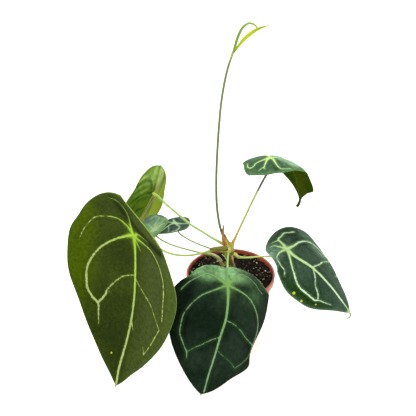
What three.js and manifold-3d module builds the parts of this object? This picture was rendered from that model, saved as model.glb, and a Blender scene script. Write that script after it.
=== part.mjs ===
// Potted anthurium forgetii: a young plant with seven velvety leaves and one flower in its nursery pot.
// Millimetres, +Z up. The origin is the middle of the pot's flat bottom. The photograph's view looks along +Y.
import * as THREE from 'three';
import { mergeVertices } from 'three/addons/utils/BufferGeometryUtils.js';
import Module from 'manifold-3d';

const wasm = await Module();
wasm.setup();

// Pot
const POT_HEIGHT = 105;
const POT_BASE_RADIUS = 40;
const POT_RIM_RADIUS = 60;
const POT_WALL = 1.5;
const POT_FLOOR = 2.5;
const COLLAR_HEIGHT = 11;
const COLLAR_STEP = 1.8;
const LIP_WIDTH = 2.6;
const LIP_ROUND = 0.7;
const ROUND_SIDES = 40;
const DRAIN_HOLES = 6;
const DRAIN_RADIUS = 4;
const DRAIN_CIRCLE = 27;

// Soil and the stem that stands in a plain hole in it
const SOIL_TOP = 101;
const SOIL_RELIEF = 0.8;
const SOIL_RINGS = 7;
const GAP = 0.3;
const STEM_X = -1.5;
const STEM_Y = 2;
const STEM_FOOT = 86;
const STEM_TOP = 148;
const STEM_RADIUS = 5.2;
const STEM_SCARS = 5;
const STEM_SCAR_DEPTH = 0.35;
const STEM_SHOULDER = 0.5;
const SHOULDER_FROM = 0.9;
const HOLE_RADIUS = STEM_RADIUS + STEM_SCAR_DEPTH + 2 * GAP;
const ROOT_RADIUS = 1.4;
const ROOT_SIDES = 7;
const ROOTS = [
  { turn: -35, leaves: 121, reach: 11 },
  { turn: -75, leaves: 116, reach: 13 },
  { turn: -140, leaves: 119, reach: 12 },
  { turn: 60, leaves: 114, reach: 12 },
  { turn: 140, leaves: 118, reach: 11 },
];

// Blades. Angles are in degrees, the heading from +X towards +Y. left and right are the halves beside the
// midrib, left being the one towards +Y of a blade that heads along +X. bumps widen or narrow a half: at which
// share of the length, by how much and over what share. droop bends the tip half down along its length,
// baseDroop the lobe behind the petiole, fold adds a sharper bend at foldAt of the tip half, and drip is the
// narrow end with its own bend.
const BLADE_THICKNESS = 0.9;
const RIB_DEPTH = 0.8;
const FOLD_SPAN = 0.35;
const DRIP_WIDTH = 1.3;
const DRIP_BLEND = 6;
const WAVE_RAMP = 12;
const WAVE_LAG = 2;
const TIP_STEPS = 60;
const BASE_STEPS = 24;
const BLADES = {
  a: {
    junction: [-116, -90, 219], heading: -129, pitch: -95, roll: 5, tip: 199, base: 63,
    left: { width: 77, shoulder: 0.64, taper: 0.83, lift: -15, curl: 13, bumps: [[0.93, -2, 0.04]] },
    right: { width: 94, shoulder: 0.62, taper: 0.98, lift: 1, curl: -52,
      bumps: [[0.18, -2.5, 0.05], [0.9, 1.5, 0.05]] },
    droop: -44, baseDroop: -21, fold: 0, foldAt: 0.5, sweep: 10, twist: -12,
    drip: { length: 2, bend: 0 }, wave: 0.9, waves: 3.5, rows: 26, columns: 16,
  },
  b: {
    junction: [-6, -75, 138], heading: -98, pitch: -43, roll: -24, tip: 138, base: 41,
    left: { width: 66, shoulder: 0.43, taper: 0.83, lift: -6, curl: 44,
      bumps: [[0.03, 8, 0.05], [0.2, 5, 0.08], [0.58, -5, 0.1], [0.76, 12, 0.06]] },
    right: { width: 68, shoulder: 0.67, taper: 0.78, lift: 0, curl: 21,
      bumps: [[0.02, 10, 0.04], [0.18, -3, 0.04], [0.3, 4, 0.07]] },
    droop: 29, baseDroop: 85, fold: 0, foldAt: 0.5, sweep: -11, twist: -4,
    drip: { length: 2, bend: 0 }, wave: 0.9, waves: 3, rows: 24, columns: 14,
  },
  c: {
    junction: [71, -20, 155], heading: -13, pitch: -30, roll: -1, tip: 120, base: 30,
    left: { width: 57, shoulder: 0.61, taper: 0.96, lift: -9, curl: 3,
      bumps: [[0.37, 2, 0.08], [0.6, -3.5, 0.09], [0.85, 1.5, 0.08]] },
    right: { width: 58, shoulder: 0.81, taper: 0.8, lift: 4, curl: 49 },
    droop: 23, baseDroop: 81, fold: 0, foldAt: 0.5, sweep: -19, twist: -13,
    drip: { length: 12, bend: 150 }, wave: 0.8, waves: 3, rows: 22, columns: 12,
  },
  d: {
    junction: [51, 40, 254.2], heading: 35, pitch: -6, roll: -4, tip: 102, base: 40,
    left: { width: 45, shoulder: 0.51, taper: 0.96, lift: 0, curl: 34,
      bumps: [[0.06, -7, 0.07], [0.18, 7, 0.08], [0.87, -3.5, 0.08]] },
    right: { width: 44, shoulder: 0.455, taper: 0.85, lift: -4, curl: 16,
      bumps: [[0.02, -9.5, 0.06], [0.13, -5.6, 0.07], [0.34, -3, 0.07], [0.55, -2, 0.07], [0.74, 12.5, 0.1]] },
    droop: 36.4, baseDroop: 47, fold: 39, foldAt: 0.27, sweep: -1, twist: 10.5,
    drip: { length: 13, bend: 52 }, wave: 0.5, waves: 3, rows: 24, columns: 12,
  },
  e: {
    junction: [-106, 60, 195], heading: 202, pitch: -62, roll: 56, tip: 110, base: 40,
    left: { width: 45, shoulder: 0.41, taper: 0.9, lift: -8, curl: 5, bumps: [[0.05, -3.5, 0.05], [0.3, -2.5, 0.1]] },
    right: { width: 45, shoulder: 0.62, taper: 0.74, lift: -15, curl: 16, bumps: [[0.5, 4, 0.13]] },
    droop: -12, baseDroop: -23, fold: 0, foldAt: 0.5, sweep: 11, twist: 12,
    drip: { length: 6, bend: 0 }, wave: 0.8, waves: 3, rows: 20, columns: 12,
  },
  f: {
    junction: [-104, 15, 159], heading: 187, pitch: -34, roll: -2, tip: 33, base: 27,
    left: { width: 26, shoulder: 0.56, taper: 0.84, lift: -18, curl: 4 },
    right: { width: 27, shoulder: 0.57, taper: 0.77, lift: -16, curl: -13 },
    droop: 12, baseDroop: -6, fold: 0, foldAt: 0.5, sweep: -2, twist: -2,
    drip: { length: 4, bend: 0 }, wave: 0.5, waves: 2, rows: 14, columns: 10,
  },
  g: {
    junction: [-77, 60, 147], heading: 213, pitch: -8, roll: 4, tip: 30, base: 22,
    left: { width: 21, shoulder: 0.53, taper: 0.88, lift: 0, curl: 17 },
    right: { width: 20, shoulder: 0.55, taper: 0.85, lift: 1, curl: 17 },
    droop: 17, baseDroop: 12, fold: 0, foldAt: 0.5, sweep: 1, twist: 1,
    drip: { length: 4, bend: 0 }, wave: 0.4, waves: 2, rows: 14, columns: 10,
  },
};

// Petioles: turn is where each leaves the stem, via are the points it passes, knee how far below its blade
// it turns to meet it square.
const PETIOLE_SIDES = 8;
const FOOT_SWELL = 0.35;
const FOOT_SHARE = 0.06;
const KNEE_SWELL = 0.18;
const KNEE_SHARE = 0.05;
const PETIOLES = {
  a: { turn: -145, leaves: 145, radius: 1.5, knee: 14, steps: 20,
    via: [[-23, -10, 148], [-41, -24, 151], [-60, -39, 158], [-80, -54, 172], [-95, -66, 192]] },
  b: { turn: -106, leaves: 139, radius: 1.35, knee: 9, steps: 14,
    via: [[-4.9, -22, 135.5], [-5.5, -38, 132], [-8, -55, 125]] },
  c: { turn: -17, leaves: 133.5, radius: 1.3, knee: 9, steps: 16,
    via: [[8.8, -2.6, 131.8], [12.5, -5.2, 132.8], [18.5, -8.6, 134.6], [27, -12, 137.3], [37, -14, 140],
      [50, -17, 142]] },
  d: { turn: 66, leaves: 142, radius: 1.3, knee: 10, steps: 18,
    via: [[2.7, 9.3, 147], [5.3, 10.6, 152.5], [9.6, 14.5, 161], [20, 24, 181], [30, 32, 201], [41.2, 37, 224]] },
  e: { turn: 154, leaves: 146.5, radius: 1.4, knee: 9, steps: 16,
    via: [[-24, 11, 152.5], [-39, 19, 158.5], [-54, 26, 165], [-68, 34, 173.5], [-85, 44, 184]] },
  f: { turn: 174, leaves: 113, radius: 1.2, knee: 7, steps: 18,
    via: [[-12.3, 3.4, 116.6], [-15, 4, 122], [-20, 4.8, 127], [-28, 5.5, 130], [-46, 8, 133], [-74, 11, 140],
      [-89, 13, 146]] },
  g: { turn: 150, leaves: 133, radius: 1.1, knee: 6, steps: 14,
    via: [[-31, 17, 134], [-48, 29, 134], [-61, 39, 135.5], [-70, 50, 136]] },
};

// Flower: its stalk, the bract and the arched spike
const PEDUNCLE_RADIUS = 1.25;
const PEDUNCLE_FLARE = 0.15;
const PEDUNCLE = [
  [-4.4, 4.6, STEM_TOP + GAP], [-4.5, 4.6, 150], [-7.6, 4.2, 155], [-10.8, 3.8, 161], [-15.2, 4, 177],
  [-19, 5, 205], [-20, 7, 240], [-19, 8, 280], [-17, 9, 316], [-14, 10, 350], [-8, 13, 383], [-1.5, 14.6, 404],
];
const SPADIX_RADIUS = 1.5;
const SPADIX = [
  [-1.3, 14.7, 404.4], [1, 15, 412], [4, 15, 422], [9, 15, 432], [16, 15, 437.6], [22, 15, 436], [26, 15, 432.2],
];
const SPATHE_WIDTH = 1.7;
const SPATHE = [
  [0.1, 12.8, 405], [2.4, 11, 412.4], [6.4, 9, 420], [11.6, 7.6, 426.6], [17, 6.6, 431.2], [24, 6, 434.6],
  [37.5, 6, 437.2],
];
const SPATHE_THICKNESS = 0.8;
const SPATHE_SIDEWAYS = new THREE.Vector3(-0.5, 0.3, 0.8);

// Papery sheaths: a spear behind the crown and three sleeves that clasp the feet of petioles
const SPEAR = [
  [-1.6, 1, STEM_TOP + GAP], [-1.6, 1, 150.5], [-3.4, 1.6, 155], [-6, 2.6, 161], [-8.4, 3.4, 169], [-9.6, 3.6, 177],
];
const SPEAR_WIDTH = 3.1;
const SPEAR_DEPTH = 1.6;
const SLEEVE_THICKNESS = 0.8;
const SLEEVE_ROOM = 0.7;
const SLEEVE_CORNERS = 6;
const SLEEVE_STEPS = 6;
const SLEEVE_NARROWS = 0.55;
const SLEEVES = [
  { name: 'sheath_left', petiole: 'a', from: 0.007, reach: 0.17, arc: 200 },
  { name: 'sheath_right', petiole: 'c', from: 0.007, reach: 0.16, arc: 180 },
  { name: 'sheath_low', petiole: 'f', from: 0.08, reach: 0.12, arc: 190 },
];

const radians = THREE.MathUtils.degToRad;
const vector = (p) => new THREE.Vector3(p[0], p[1], p[2]);

// Closed geometry from points and triangles
function solid(points, triangles) {
  const geometry = new THREE.BufferGeometry();
  const numbers = points.flatMap((p) => [p.x, p.y, p.z]);
  geometry.setAttribute('position', new THREE.Float32BufferAttribute(numbers, 3));
  geometry.setIndex(triangles);
  geometry.computeVertexNormals();
  return geometry;
}

// Triangles of the skin between rings of points
function skin(rings) {
  const sides = rings[0].length;
  const triangles = [];
  for (let i = 0; i < rings.length - 1; i += 1) {
    for (let j = 0; j < sides; j += 1) {
      const a = i * sides + j;
      const b = i * sides + ((j + 1) % sides);
      triangles.push(a, b, b + sides, a, b + sides, a + sides);
    }
  }
  return triangles;
}

// A skin through rings, closed by a fan at each end
function loft(rings) {
  const sides = rings[0].length;
  const points = rings.flat();
  const triangles = skin(rings);
  const middle = (ring) => ring.reduce((sum, p) => sum.add(p), new THREE.Vector3()).divideScalar(ring.length);
  const foot = points.push(middle(rings[0])) - 1;
  const head = points.push(middle(rings[rings.length - 1])) - 1;
  const last = (rings.length - 1) * sides;
  for (let j = 0; j < sides; j += 1) {
    const next = (j + 1) % sides;
    triangles.push(foot, next, j, head, last + j, last + next);
  }
  return solid(points, triangles);
}

// A round stalk along a curve, its radius given along the way
function stalk(curve, steps, sides, radiusAt) {
  const frames = curve.computeFrenetFrames(steps);
  const rings = [];
  for (let i = 0; i <= steps; i += 1) {
    const s = i / steps;
    const centre = curve.getPointAt(s);
    const ring = [];
    for (let j = 0; j < sides; j += 1) {
      const turn = (2 * Math.PI * j) / sides;
      ring.push(centre.clone()
        .addScaledVector(frames.normals[i], Math.cos(turn) * radiusAt(s))
        .addScaledVector(frames.binormals[i], Math.sin(turn) * radiusAt(s)));
    }
    rings.push(ring);
  }
  return loft(rings);
}

function manifoldOf(geometry) {
  const plain = geometry.clone();
  plain.deleteAttribute('normal');
  plain.deleteAttribute('uv');
  const merged = mergeVertices(plain, 1e-4);
  return new wasm.Manifold(new wasm.Mesh({
    numProp: 3,
    vertProperties: Float32Array.from(merged.attributes.position.array),
    triVerts: Uint32Array.from(merged.index.array),
  }));
}

function geometryOf(manifold) {
  const mesh = manifold.getMesh();
  const geometry = new THREE.BufferGeometry();
  geometry.setAttribute('position', new THREE.Float32BufferAttribute(mesh.vertProperties, 3));
  geometry.setIndex(Array.from(mesh.triVerts));
  geometry.computeVertexNormals();
  return geometry;
}

// Midrib of a blade, marched from the junction to each end in small turns
function midrib(blade) {
  const heading = radians(blade.heading);
  const pitch = radians(blade.pitch);
  const roll = radians(blade.roll);
  const along = new THREE.Vector3(
    Math.cos(heading) * Math.cos(pitch), Math.sin(heading) * Math.cos(pitch), Math.sin(pitch));
  const level = new THREE.Vector3(-Math.sin(heading), Math.cos(heading), 0);
  const above = along.clone().cross(level);
  const across = level.multiplyScalar(Math.cos(roll)).addScaledVector(above, Math.sin(roll));

  function march(sign, length, steps, turnsAt) {
    const stations = [];
    const point = vector(blade.junction);
    const t = along.clone();
    const b = across.clone();
    for (let i = 0; i <= steps; i += 1) {
      const n = t.clone().cross(b);
      stations.push({ u: (sign * length * i) / steps, point: point.clone(), t: t.clone(), b: b.clone(), n });
      const { bend, swing, turn } = turnsAt((i + 0.5) / steps, steps);
      const half = t.clone().multiplyScalar(Math.cos(bend / 2)).addScaledVector(n, -Math.sin(bend / 2));
      half.addScaledVector(b, swing / 2).normalize();
      point.addScaledVector(half, (sign * length) / steps);
      t.multiplyScalar(Math.cos(bend)).addScaledVector(n, -Math.sin(bend)).addScaledVector(b, swing).normalize();
      b.addScaledVector(t.clone().cross(b), turn);
      b.addScaledVector(t, -b.dot(t)).normalize();
    }
    return stations;
  }

  const reach = blade.tip + blade.drip.length;
  const tipwards = march(1, reach, TIP_STEPS, (share, steps) => {
    const s = (share * reach) / blade.tip;
    const x = (s - blade.foldAt) / FOLD_SPAN;
    const bump = Math.abs(x) < 0.5 ? (1 + Math.cos(2 * Math.PI * x)) / FOLD_SPAN : 0;
    const step = reach / blade.tip / steps;
    const hook = s > 1 ? (blade.drip.bend * blade.tip) / blade.drip.length : 0;
    return {
      bend: radians(blade.droop + blade.fold * bump + hook) * step,
      swing: radians(blade.sweep * 2 * Math.min(s, 1)) * step,
      turn: radians(blade.twist) * step,
    };
  });
  const basewards = march(-1, blade.base, BASE_STEPS, (share, steps) => (
    { bend: -radians(blade.baseDroop) / steps, swing: 0, turn: 0 }));
  return [...basewards.reverse().slice(0, -1), ...tipwards];
}

function stationAt(stations, u) {
  let i = stations.findIndex((station) => station.u > u);
  if (i < 0) i = stations.length - 1;
  i = Math.max(i, 1);
  const from = stations[i - 1];
  const to = stations[i];
  const mix = THREE.MathUtils.clamp((u - from.u) / (to.u - from.u), 0, 1);
  const between = (key) => from[key].clone().lerp(to[key], mix);
  return { point: between('point'), b: between('b').normalize(), n: between('n').normalize() };
}

// Half width of a blade at u along its midrib: a round shoulder, a taper and the narrow drip tip
function halfWidth(blade, half, u) {
  const s = THREE.MathUtils.clamp((u + blade.base) / (blade.base + blade.tip), 0, 1);
  const widest = half.shoulder / (half.shoulder + half.taper);
  const shape = (x) => x ** half.shoulder * (1 - x) ** half.taper;
  const bumps = (half.bumps ?? []).map(([at, by, span]) => by * Math.exp(-(((s - at) / span) ** 2)));
  const body = bumps.reduce((sum, bump) => sum + bump, (half.width * shape(s)) / shape(widest));
  const narrowing = Math.max(u - blade.tip + DRIP_BLEND, 0) / (blade.drip.length + 1.5 * DRIP_BLEND);
  const drip = DRIP_WIDTH * (1 - narrowing);
  return Math.max(body, drip);
}

// Point of the blade's middle surface at u along the midrib and the share t across, from -1 to 1
function bladePoint(blade, stations, u, t) {
  const { point, b, n } = stationAt(stations, u);
  const half = t >= 0 ? blade.left : blade.right;
  const v = halfWidth(blade, half, u) * Math.abs(t);
  const lift = radians(half.lift);
  const bend = radians(half.curl) / half.width;
  const out = (Math.sin(lift + bend * v) - Math.sin(lift)) / bend;
  const down = (Math.cos(lift + bend * v) - Math.cos(lift)) / bend;
  const phase = (2 * Math.PI * blade.waves * u) / (blade.base + blade.tip);
  const wave = blade.wave * t * t * Math.sin(phase + (t > 0 ? 0 : WAVE_LAG)) * Math.min(1, v / WAVE_RAMP);
  return point.addScaledVector(b, Math.sign(t) * out).addScaledVector(n, down + wave);
}

// A blade: the middle surface split alike on both faces, with the midrib standing out below
function bladeGeometry(blade) {
  const stations = midrib(blade);
  const { rows, columns } = blade;
  const dripRows = Math.max(2, Math.round(blade.drip.length / 3));
  const us = [];
  for (let i = 0; i <= rows; i += 1) {
    const share = (1 - Math.cos((Math.PI * (i + 0.25)) / (rows + 0.5))) / 2;
    us.push(-blade.base + share * (blade.base + blade.tip));
  }
  for (let i = 1; i <= dripRows; i += 1) us.push(blade.tip + (blade.drip.length * i) / dripRows);
  const grid = us.map((u) => {
    const row = [];
    for (let j = 0; j <= columns; j += 1) row.push(bladePoint(blade, stations, u, (2 * j) / columns - 1));
    return row;
  });
  const count = columns + 1;
  const last = us.length - 1;
  const upper = [];
  const lower = [];
  grid.forEach((row, i) => row.forEach((p, j) => {
    const lengthwise = grid[Math.min(i + 1, last)][j].clone().sub(grid[Math.max(i - 1, 0)][j]);
    const crosswise = row[Math.min(j + 1, columns)].clone().sub(row[Math.max(j - 1, 0)]);
    const normal = lengthwise.cross(crosswise).normalize();
    const fade = 1 - Math.max(us[i], 0) / (blade.tip + blade.drip.length);
    const rib = j === columns / 2 ? RIB_DEPTH * Math.min(1, 0.2 + fade) : 0;
    upper.push(p.clone().addScaledVector(normal, BLADE_THICKNESS / 2));
    lower.push(p.clone().addScaledVector(normal, -BLADE_THICKNESS / 2 - rib));
  }));
  const points = [...upper, ...lower];
  const under = upper.length;
  const triangles = [];
  for (let i = 0; i < last; i += 1) {
    for (let j = 0; j < columns; j += 1) {
      const a = i * count + j;
      const b = a + 1;
      const c = a + count;
      const d = c + 1;
      triangles.push(a, c, d, a, d, b, under + a, under + d, under + c, under + a, under + b, under + d);
    }
  }
  const edge = (a, b) => triangles.push(a, b, under + b, a, under + b, under + a);
  for (let j = 0; j < columns; j += 1) {
    edge(j, j + 1);
    edge(last * count + j + 1, last * count + j);
  }
  for (let i = 0; i < last; i += 1) {
    edge((i + 1) * count, i * count);
    edge(i * count + columns, (i + 1) * count + columns);
  }
  return solid(points, triangles);
}

// Curve of a petiole, from the side of the stem to just under its blade
function petioleCurve(name) {
  const petiole = PETIOLES[name];
  const turn = radians(petiole.turn);
  const away = new THREE.Vector3(Math.cos(turn), Math.sin(turn), 0);
  const foot = new THREE.Vector3(STEM_X, STEM_Y, petiole.leaves)
    .addScaledVector(away, stemRadius((petiole.leaves - STEM_FOOT) / (STEM_TOP - STEM_FOOT)) + GAP);
  const blade = BLADES[name];
  const { point, n } = stationAt(midrib(blade), 0);
  const below = BLADE_THICKNESS / 2 + RIB_DEPTH + 1.5 * GAP;
  return new THREE.CatmullRomCurve3([
    foot,
    foot.clone().addScaledVector(away, 3),
    ...petiole.via.map(vector),
    point.clone().addScaledVector(n, -petiole.knee),
    point.clone().addScaledVector(n, -below - 2),
    point.clone().addScaledVector(n, -below),
  ], false, 'centripetal');
}

// Swollen at the foot, where it clasps the stem, and again at the knee under the blade
function petioleRadius(radius) {
  const swell = (by, distance, reach) => by * Math.exp(-((distance / reach) ** 2));
  return (s) => radius * (1 + swell(FOOT_SWELL, s, FOOT_SHARE) + swell(KNEE_SWELL, 1 - s, KNEE_SHARE));
}

// Radius of the pot's outside at height z, below the collar
function wallRadius(z) {
  return POT_BASE_RADIUS + ((POT_RIM_RADIUS - COLLAR_STEP - POT_BASE_RADIUS) * z) / POT_HEIGHT;
}

function potGeometry() {
  const collar = POT_HEIGHT - COLLAR_HEIGHT;
  const lip = POT_RIM_RADIUS - LIP_WIDTH;
  const profile = [
    [0, 0], [POT_BASE_RADIUS - 1, 0], [wallRadius(1), 1], [wallRadius(collar), collar],
    [wallRadius(collar) + COLLAR_STEP, collar + 1], [POT_RIM_RADIUS, POT_HEIGHT - 1],
    [POT_RIM_RADIUS - LIP_ROUND, POT_HEIGHT], [lip + LIP_ROUND, POT_HEIGHT], [lip, POT_HEIGHT - 1],
    [wallRadius(collar) - POT_WALL, collar - 2], [wallRadius(POT_FLOOR) - POT_WALL, POT_FLOOR], [0, POT_FLOOR],
  ].map(([r, z]) => new THREE.Vector2(r, z));
  let pot = manifoldOf(new THREE.LatheGeometry(profile, ROUND_SIDES).rotateX(Math.PI / 2));
  for (let i = 0; i < DRAIN_HOLES; i += 1) {
    const turn = (2 * Math.PI * (i + 0.5)) / DRAIN_HOLES;
    const drill = new THREE.CylinderGeometry(DRAIN_RADIUS, DRAIN_RADIUS, 3 * POT_FLOOR, 12);
    drill.rotateX(Math.PI / 2);
    drill.translate(DRAIN_CIRCLE * Math.cos(turn), DRAIN_CIRCLE * Math.sin(turn), POT_FLOOR / 2);
    pot = pot.subtract(manifoldOf(drill));
  }
  return geometryOf(pot);
}

// Soil: rings from the bottom of the stem's hole out over the rough top and down the pot's wall
function soilGeometry() {
  const inside = (z) => wallRadius(z) - POT_WALL - GAP;
  const ring = (radius, share, z, relief) => {
    const points = [];
    for (let j = 0; j < ROUND_SIDES; j += 1) {
      const turn = (2 * Math.PI * j) / ROUND_SIDES + Math.PI / 2;
      const lumps = Math.sin(5 * turn + 11 * share) * Math.cos(9 * turn - 17 * share);
      const rough = lumps + 0.4 * Math.sin(13 * turn + 29 * share);
      points.push(new THREE.Vector3(
        STEM_X * (1 - share) + radius * Math.cos(turn),
        STEM_Y * (1 - share) + radius * Math.sin(turn),
        z + relief * rough));
    }
    return points;
  };
  const rings = [ring(HOLE_RADIUS, 0, STEM_FOOT - GAP, 0), ring(HOLE_RADIUS, 0, SOIL_TOP, 0)];
  for (let i = 1; i <= SOIL_RINGS; i += 1) {
    const share = i / (SOIL_RINGS + 1);
    rings.push(ring(HOLE_RADIUS + (inside(SOIL_TOP) - HOLE_RADIUS) * share, share, SOIL_TOP, SOIL_RELIEF));
  }
  const low = POT_FLOOR + GAP;
  rings.push(ring(inside(SOIL_TOP), 1, SOIL_TOP, 0), ring(inside(low), 1, low, 0));
  return loft(rings.reverse());
}

// Radius of the stem at the share s of its height, with its leaf scars and its rounded shoulder
function stemRadius(s) {
  const scars = STEM_SCAR_DEPTH * Math.cos(2 * Math.PI * STEM_SCARS * s);
  const shoulder = Math.max(0, s - SHOULDER_FROM) / (1 - SHOULDER_FROM);
  return STEM_RADIUS + scars - STEM_SHOULDER * shoulder;
}

// Stem: leaf scars ring it, and root stubs grow from its lower half down to the soil
function stemGeometry() {
  const axis = new THREE.LineCurve3(
    new THREE.Vector3(STEM_X, STEM_Y, STEM_FOOT), new THREE.Vector3(STEM_X, STEM_Y, STEM_TOP));
  let stem = manifoldOf(stalk(axis, 4 * STEM_SCARS, 12, stemRadius));
  for (const root of ROOTS) {
    const turn = radians(root.turn);
    const at = (out, z) => new THREE.Vector3(STEM_X + out * Math.cos(turn), STEM_Y + out * Math.sin(turn), z);
    const tipHeight = SOIL_TOP + SOIL_RELIEF + GAP + ROOT_RADIUS * 0.5;
    const curve = new THREE.CatmullRomCurve3([
      at(STEM_RADIUS - 4, root.leaves + 1), at(STEM_RADIUS + 1, root.leaves - 1),
      at(root.reach - 1.5, (root.leaves + tipHeight) / 2), at(root.reach, tipHeight),
    ]);
    stem = stem.add(manifoldOf(stalk(curve, ROOT_SIDES, ROOT_SIDES, (s) => ROOT_RADIUS * (1.15 - 0.5 * s))));
  }
  return geometryOf(stem);
}

// A flat tapering strip along a curve, lens shaped in section
function strip(points, steps, widthAt, depthAt, sideways) {
  const curve = new THREE.CatmullRomCurve3(points.map(vector));
  const rings = [];
  for (let i = 0; i <= steps; i += 1) {
    const s = i / steps;
    const t = curve.getTangentAt(s);
    const side = sideways.clone().addScaledVector(t, -sideways.dot(t)).normalize();
    const up = t.clone().cross(side);
    const ring = [];
    for (let j = 0; j < 8; j += 1) {
      const turn = (2 * Math.PI * j) / 8;
      ring.push(curve.getPointAt(s)
        .addScaledVector(side, widthAt(s) * Math.cos(turn))
        .addScaledVector(up, depthAt(s) * Math.sin(turn)));
    }
    rings.push(ring);
  }
  return loft(rings);
}

// A papery sleeve round the upper side of a petiole's foot
function sleeveGeometry({ petiole, from, reach, arc }) {
  const curve = petioleCurve(petiole);
  const radiusAt = petioleRadius(PETIOLES[petiole].radius);
  const rings = [];
  for (let i = 0; i <= SLEEVE_STEPS; i += 1) {
    const s = from + (reach * i) / SLEEVE_STEPS;
    const t = curve.getTangentAt(s);
    const side = new THREE.Vector3(-t.y, t.x, 0).normalize();
    const up = t.clone().cross(side);
    const inner = radiusAt(s) + SLEEVE_ROOM;
    const opening = radians(arc * (1 - (SLEEVE_NARROWS * i) / SLEEVE_STEPS));
    const at = (r, k) => {
      const turn = Math.PI / 2 + opening * (k / SLEEVE_CORNERS - 0.5);
      return curve.getPointAt(s).addScaledVector(side, r * Math.cos(turn)).addScaledVector(up, r * Math.sin(turn));
    };
    const ring = [];
    for (let k = 0; k <= SLEEVE_CORNERS; k += 1) ring.push(at(inner + SLEEVE_THICKNESS, k));
    for (let k = SLEEVE_CORNERS; k >= 0; k -= 1) ring.push(at(inner, k));
    rings.push(ring);
  }
  return bentLoft(rings);
}

// A skin through rings whose section is a bent strip: its ends are closed across the strip's two edges
function bentLoft(rings) {
  const sides = rings[0].length;
  const triangles = skin(rings);
  const last = (rings.length - 1) * sides;
  for (let k = 0; k < sides / 2 - 1; k += 1) {
    const mate = sides - 1 - k;
    triangles.push(k, mate, mate - 1, k, mate - 1, k + 1);
    triangles.push(last + k, last + mate - 1, last + mate, last + k, last + k + 1, last + mate - 1);
  }
  return solid(rings.flat(), triangles);
}

function finish(color, roughness) {
  return new THREE.MeshStandardMaterial({ color, roughness, metalness: 0 });
}

const FINISHES = {
  terracotta: finish(0xb4502c, 0.5),
  bark: finish(0x1c1512, 0.95),
  crown: finish(0x7d7a2c, 0.7),
  papery: finish(0x9a6432, 0.8),
  petiole: finish(0x7f9a3f, 0.5),
  oliveVelvet: finish(0x3c4d12, 0.6),
  darkVelvet: finish(0x1d3a2c, 0.6),
  paleUnderside: finish(0x5f8f1f, 0.5),
  flowerGreen: finish(0x5f8a1c, 0.5),
  lime: finish(0xb5d410, 0.5),
};

const plant = new THREE.Group();
function piece(name, geometry, material) {
  const mesh = new THREE.Mesh(geometry, material);
  mesh.name = name;
  plant.add(mesh);
}

piece('pot', potGeometry(), FINISHES.terracotta);
piece('soil', soilGeometry(), FINISHES.bark);
piece('stem', stemGeometry(), FINISHES.crown);
for (const [name, blade] of Object.entries(BLADES)) {
  const velvet = { a: FINISHES.oliveVelvet, e: FINISHES.paleUnderside }[name] ?? FINISHES.darkVelvet;
  piece(`blade_${name}`, bladeGeometry(blade), velvet);
}
for (const [name, petiole] of Object.entries(PETIOLES)) {
  const geometry = stalk(petioleCurve(name), petiole.steps, PETIOLE_SIDES, petioleRadius(petiole.radius));
  piece(`petiole_${name}`, geometry, FINISHES.petiole);
}
for (const sleeve of SLEEVES) piece(sleeve.name, sleeveGeometry(sleeve), FINISHES.papery);
const spearWidth = (s) => SPEAR_WIDTH * (1 - 0.86 * s ** 0.8);
const spearDepth = (s) => SPEAR_DEPTH * (1 - 0.7 * s);
piece('sheath_spear', strip(SPEAR, 8, spearWidth, spearDepth, new THREE.Vector3(1, 0, 0)), FINISHES.papery);
const peduncle = new THREE.CatmullRomCurve3(PEDUNCLE.map(vector), false, 'centripetal');
const peduncleRadius = (s) => PEDUNCLE_RADIUS * (1 + PEDUNCLE_FLARE * (1 - 2 * s));
piece('peduncle', stalk(peduncle, 26, PETIOLE_SIDES, peduncleRadius), FINISHES.petiole);
const spadix = new THREE.CatmullRomCurve3(SPADIX.map(vector), false, 'centripetal');
const spadixRadius = (s) => SPADIX_RADIUS * Math.min(1, 0.75 + s) * (1 - 0.45 * s * s);
piece('spadix', stalk(spadix, 16, PETIOLE_SIDES, spadixRadius), FINISHES.flowerGreen);
const spatheWidth = (s) => 0.5 + SPATHE_WIDTH * Math.sin(Math.PI * Math.min(1, s ** 0.7)) ** 0.8;
piece('spathe', strip(SPATHE, 12, spatheWidth, () => SPATHE_THICKNESS / 2, SPATHE_SIDEWAYS), FINISHES.lime);

export default plant;
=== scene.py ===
"""Potted anthurium forgetii: seven velvety leaves and one flower on thin stalks, in a nursery pot.

Lengths in the tables below are millimetres in the plant's own frame: the origin is the middle of the
pot's flat bottom, +Z is up and the pictured view looks along +Y.
"""

import math
import random
from contextlib import contextmanager
from dataclasses import dataclass

import bpy
import numpy as np
from bpy.props import FloatProperty, FloatVectorProperty, IntProperty, PointerProperty
from mathutils import Matrix, Vector, noise


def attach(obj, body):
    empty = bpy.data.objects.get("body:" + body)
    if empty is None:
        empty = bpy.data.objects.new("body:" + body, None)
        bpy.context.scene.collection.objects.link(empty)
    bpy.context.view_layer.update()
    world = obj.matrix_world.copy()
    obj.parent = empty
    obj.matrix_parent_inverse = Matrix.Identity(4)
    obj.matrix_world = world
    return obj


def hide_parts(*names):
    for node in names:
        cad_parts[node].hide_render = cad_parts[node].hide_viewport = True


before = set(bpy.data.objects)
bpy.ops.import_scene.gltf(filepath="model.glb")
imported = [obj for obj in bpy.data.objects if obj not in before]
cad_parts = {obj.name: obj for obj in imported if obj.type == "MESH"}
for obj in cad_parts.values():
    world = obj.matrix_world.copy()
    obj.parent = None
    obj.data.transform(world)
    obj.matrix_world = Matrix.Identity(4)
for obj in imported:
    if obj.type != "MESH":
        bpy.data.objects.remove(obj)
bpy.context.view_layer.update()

bl_info = {
    "name": "Potted Anthurium",
    "version": (1, 0, 0),
    "blender": (4, 5, 0),
    "location": "View3D > Sidebar > Plant",
    "description": "Builds the leaves, stalks, flower, soil and pot of a potted anthurium, and its stage",
    "category": "Object",
}

MM = 0.001

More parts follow.
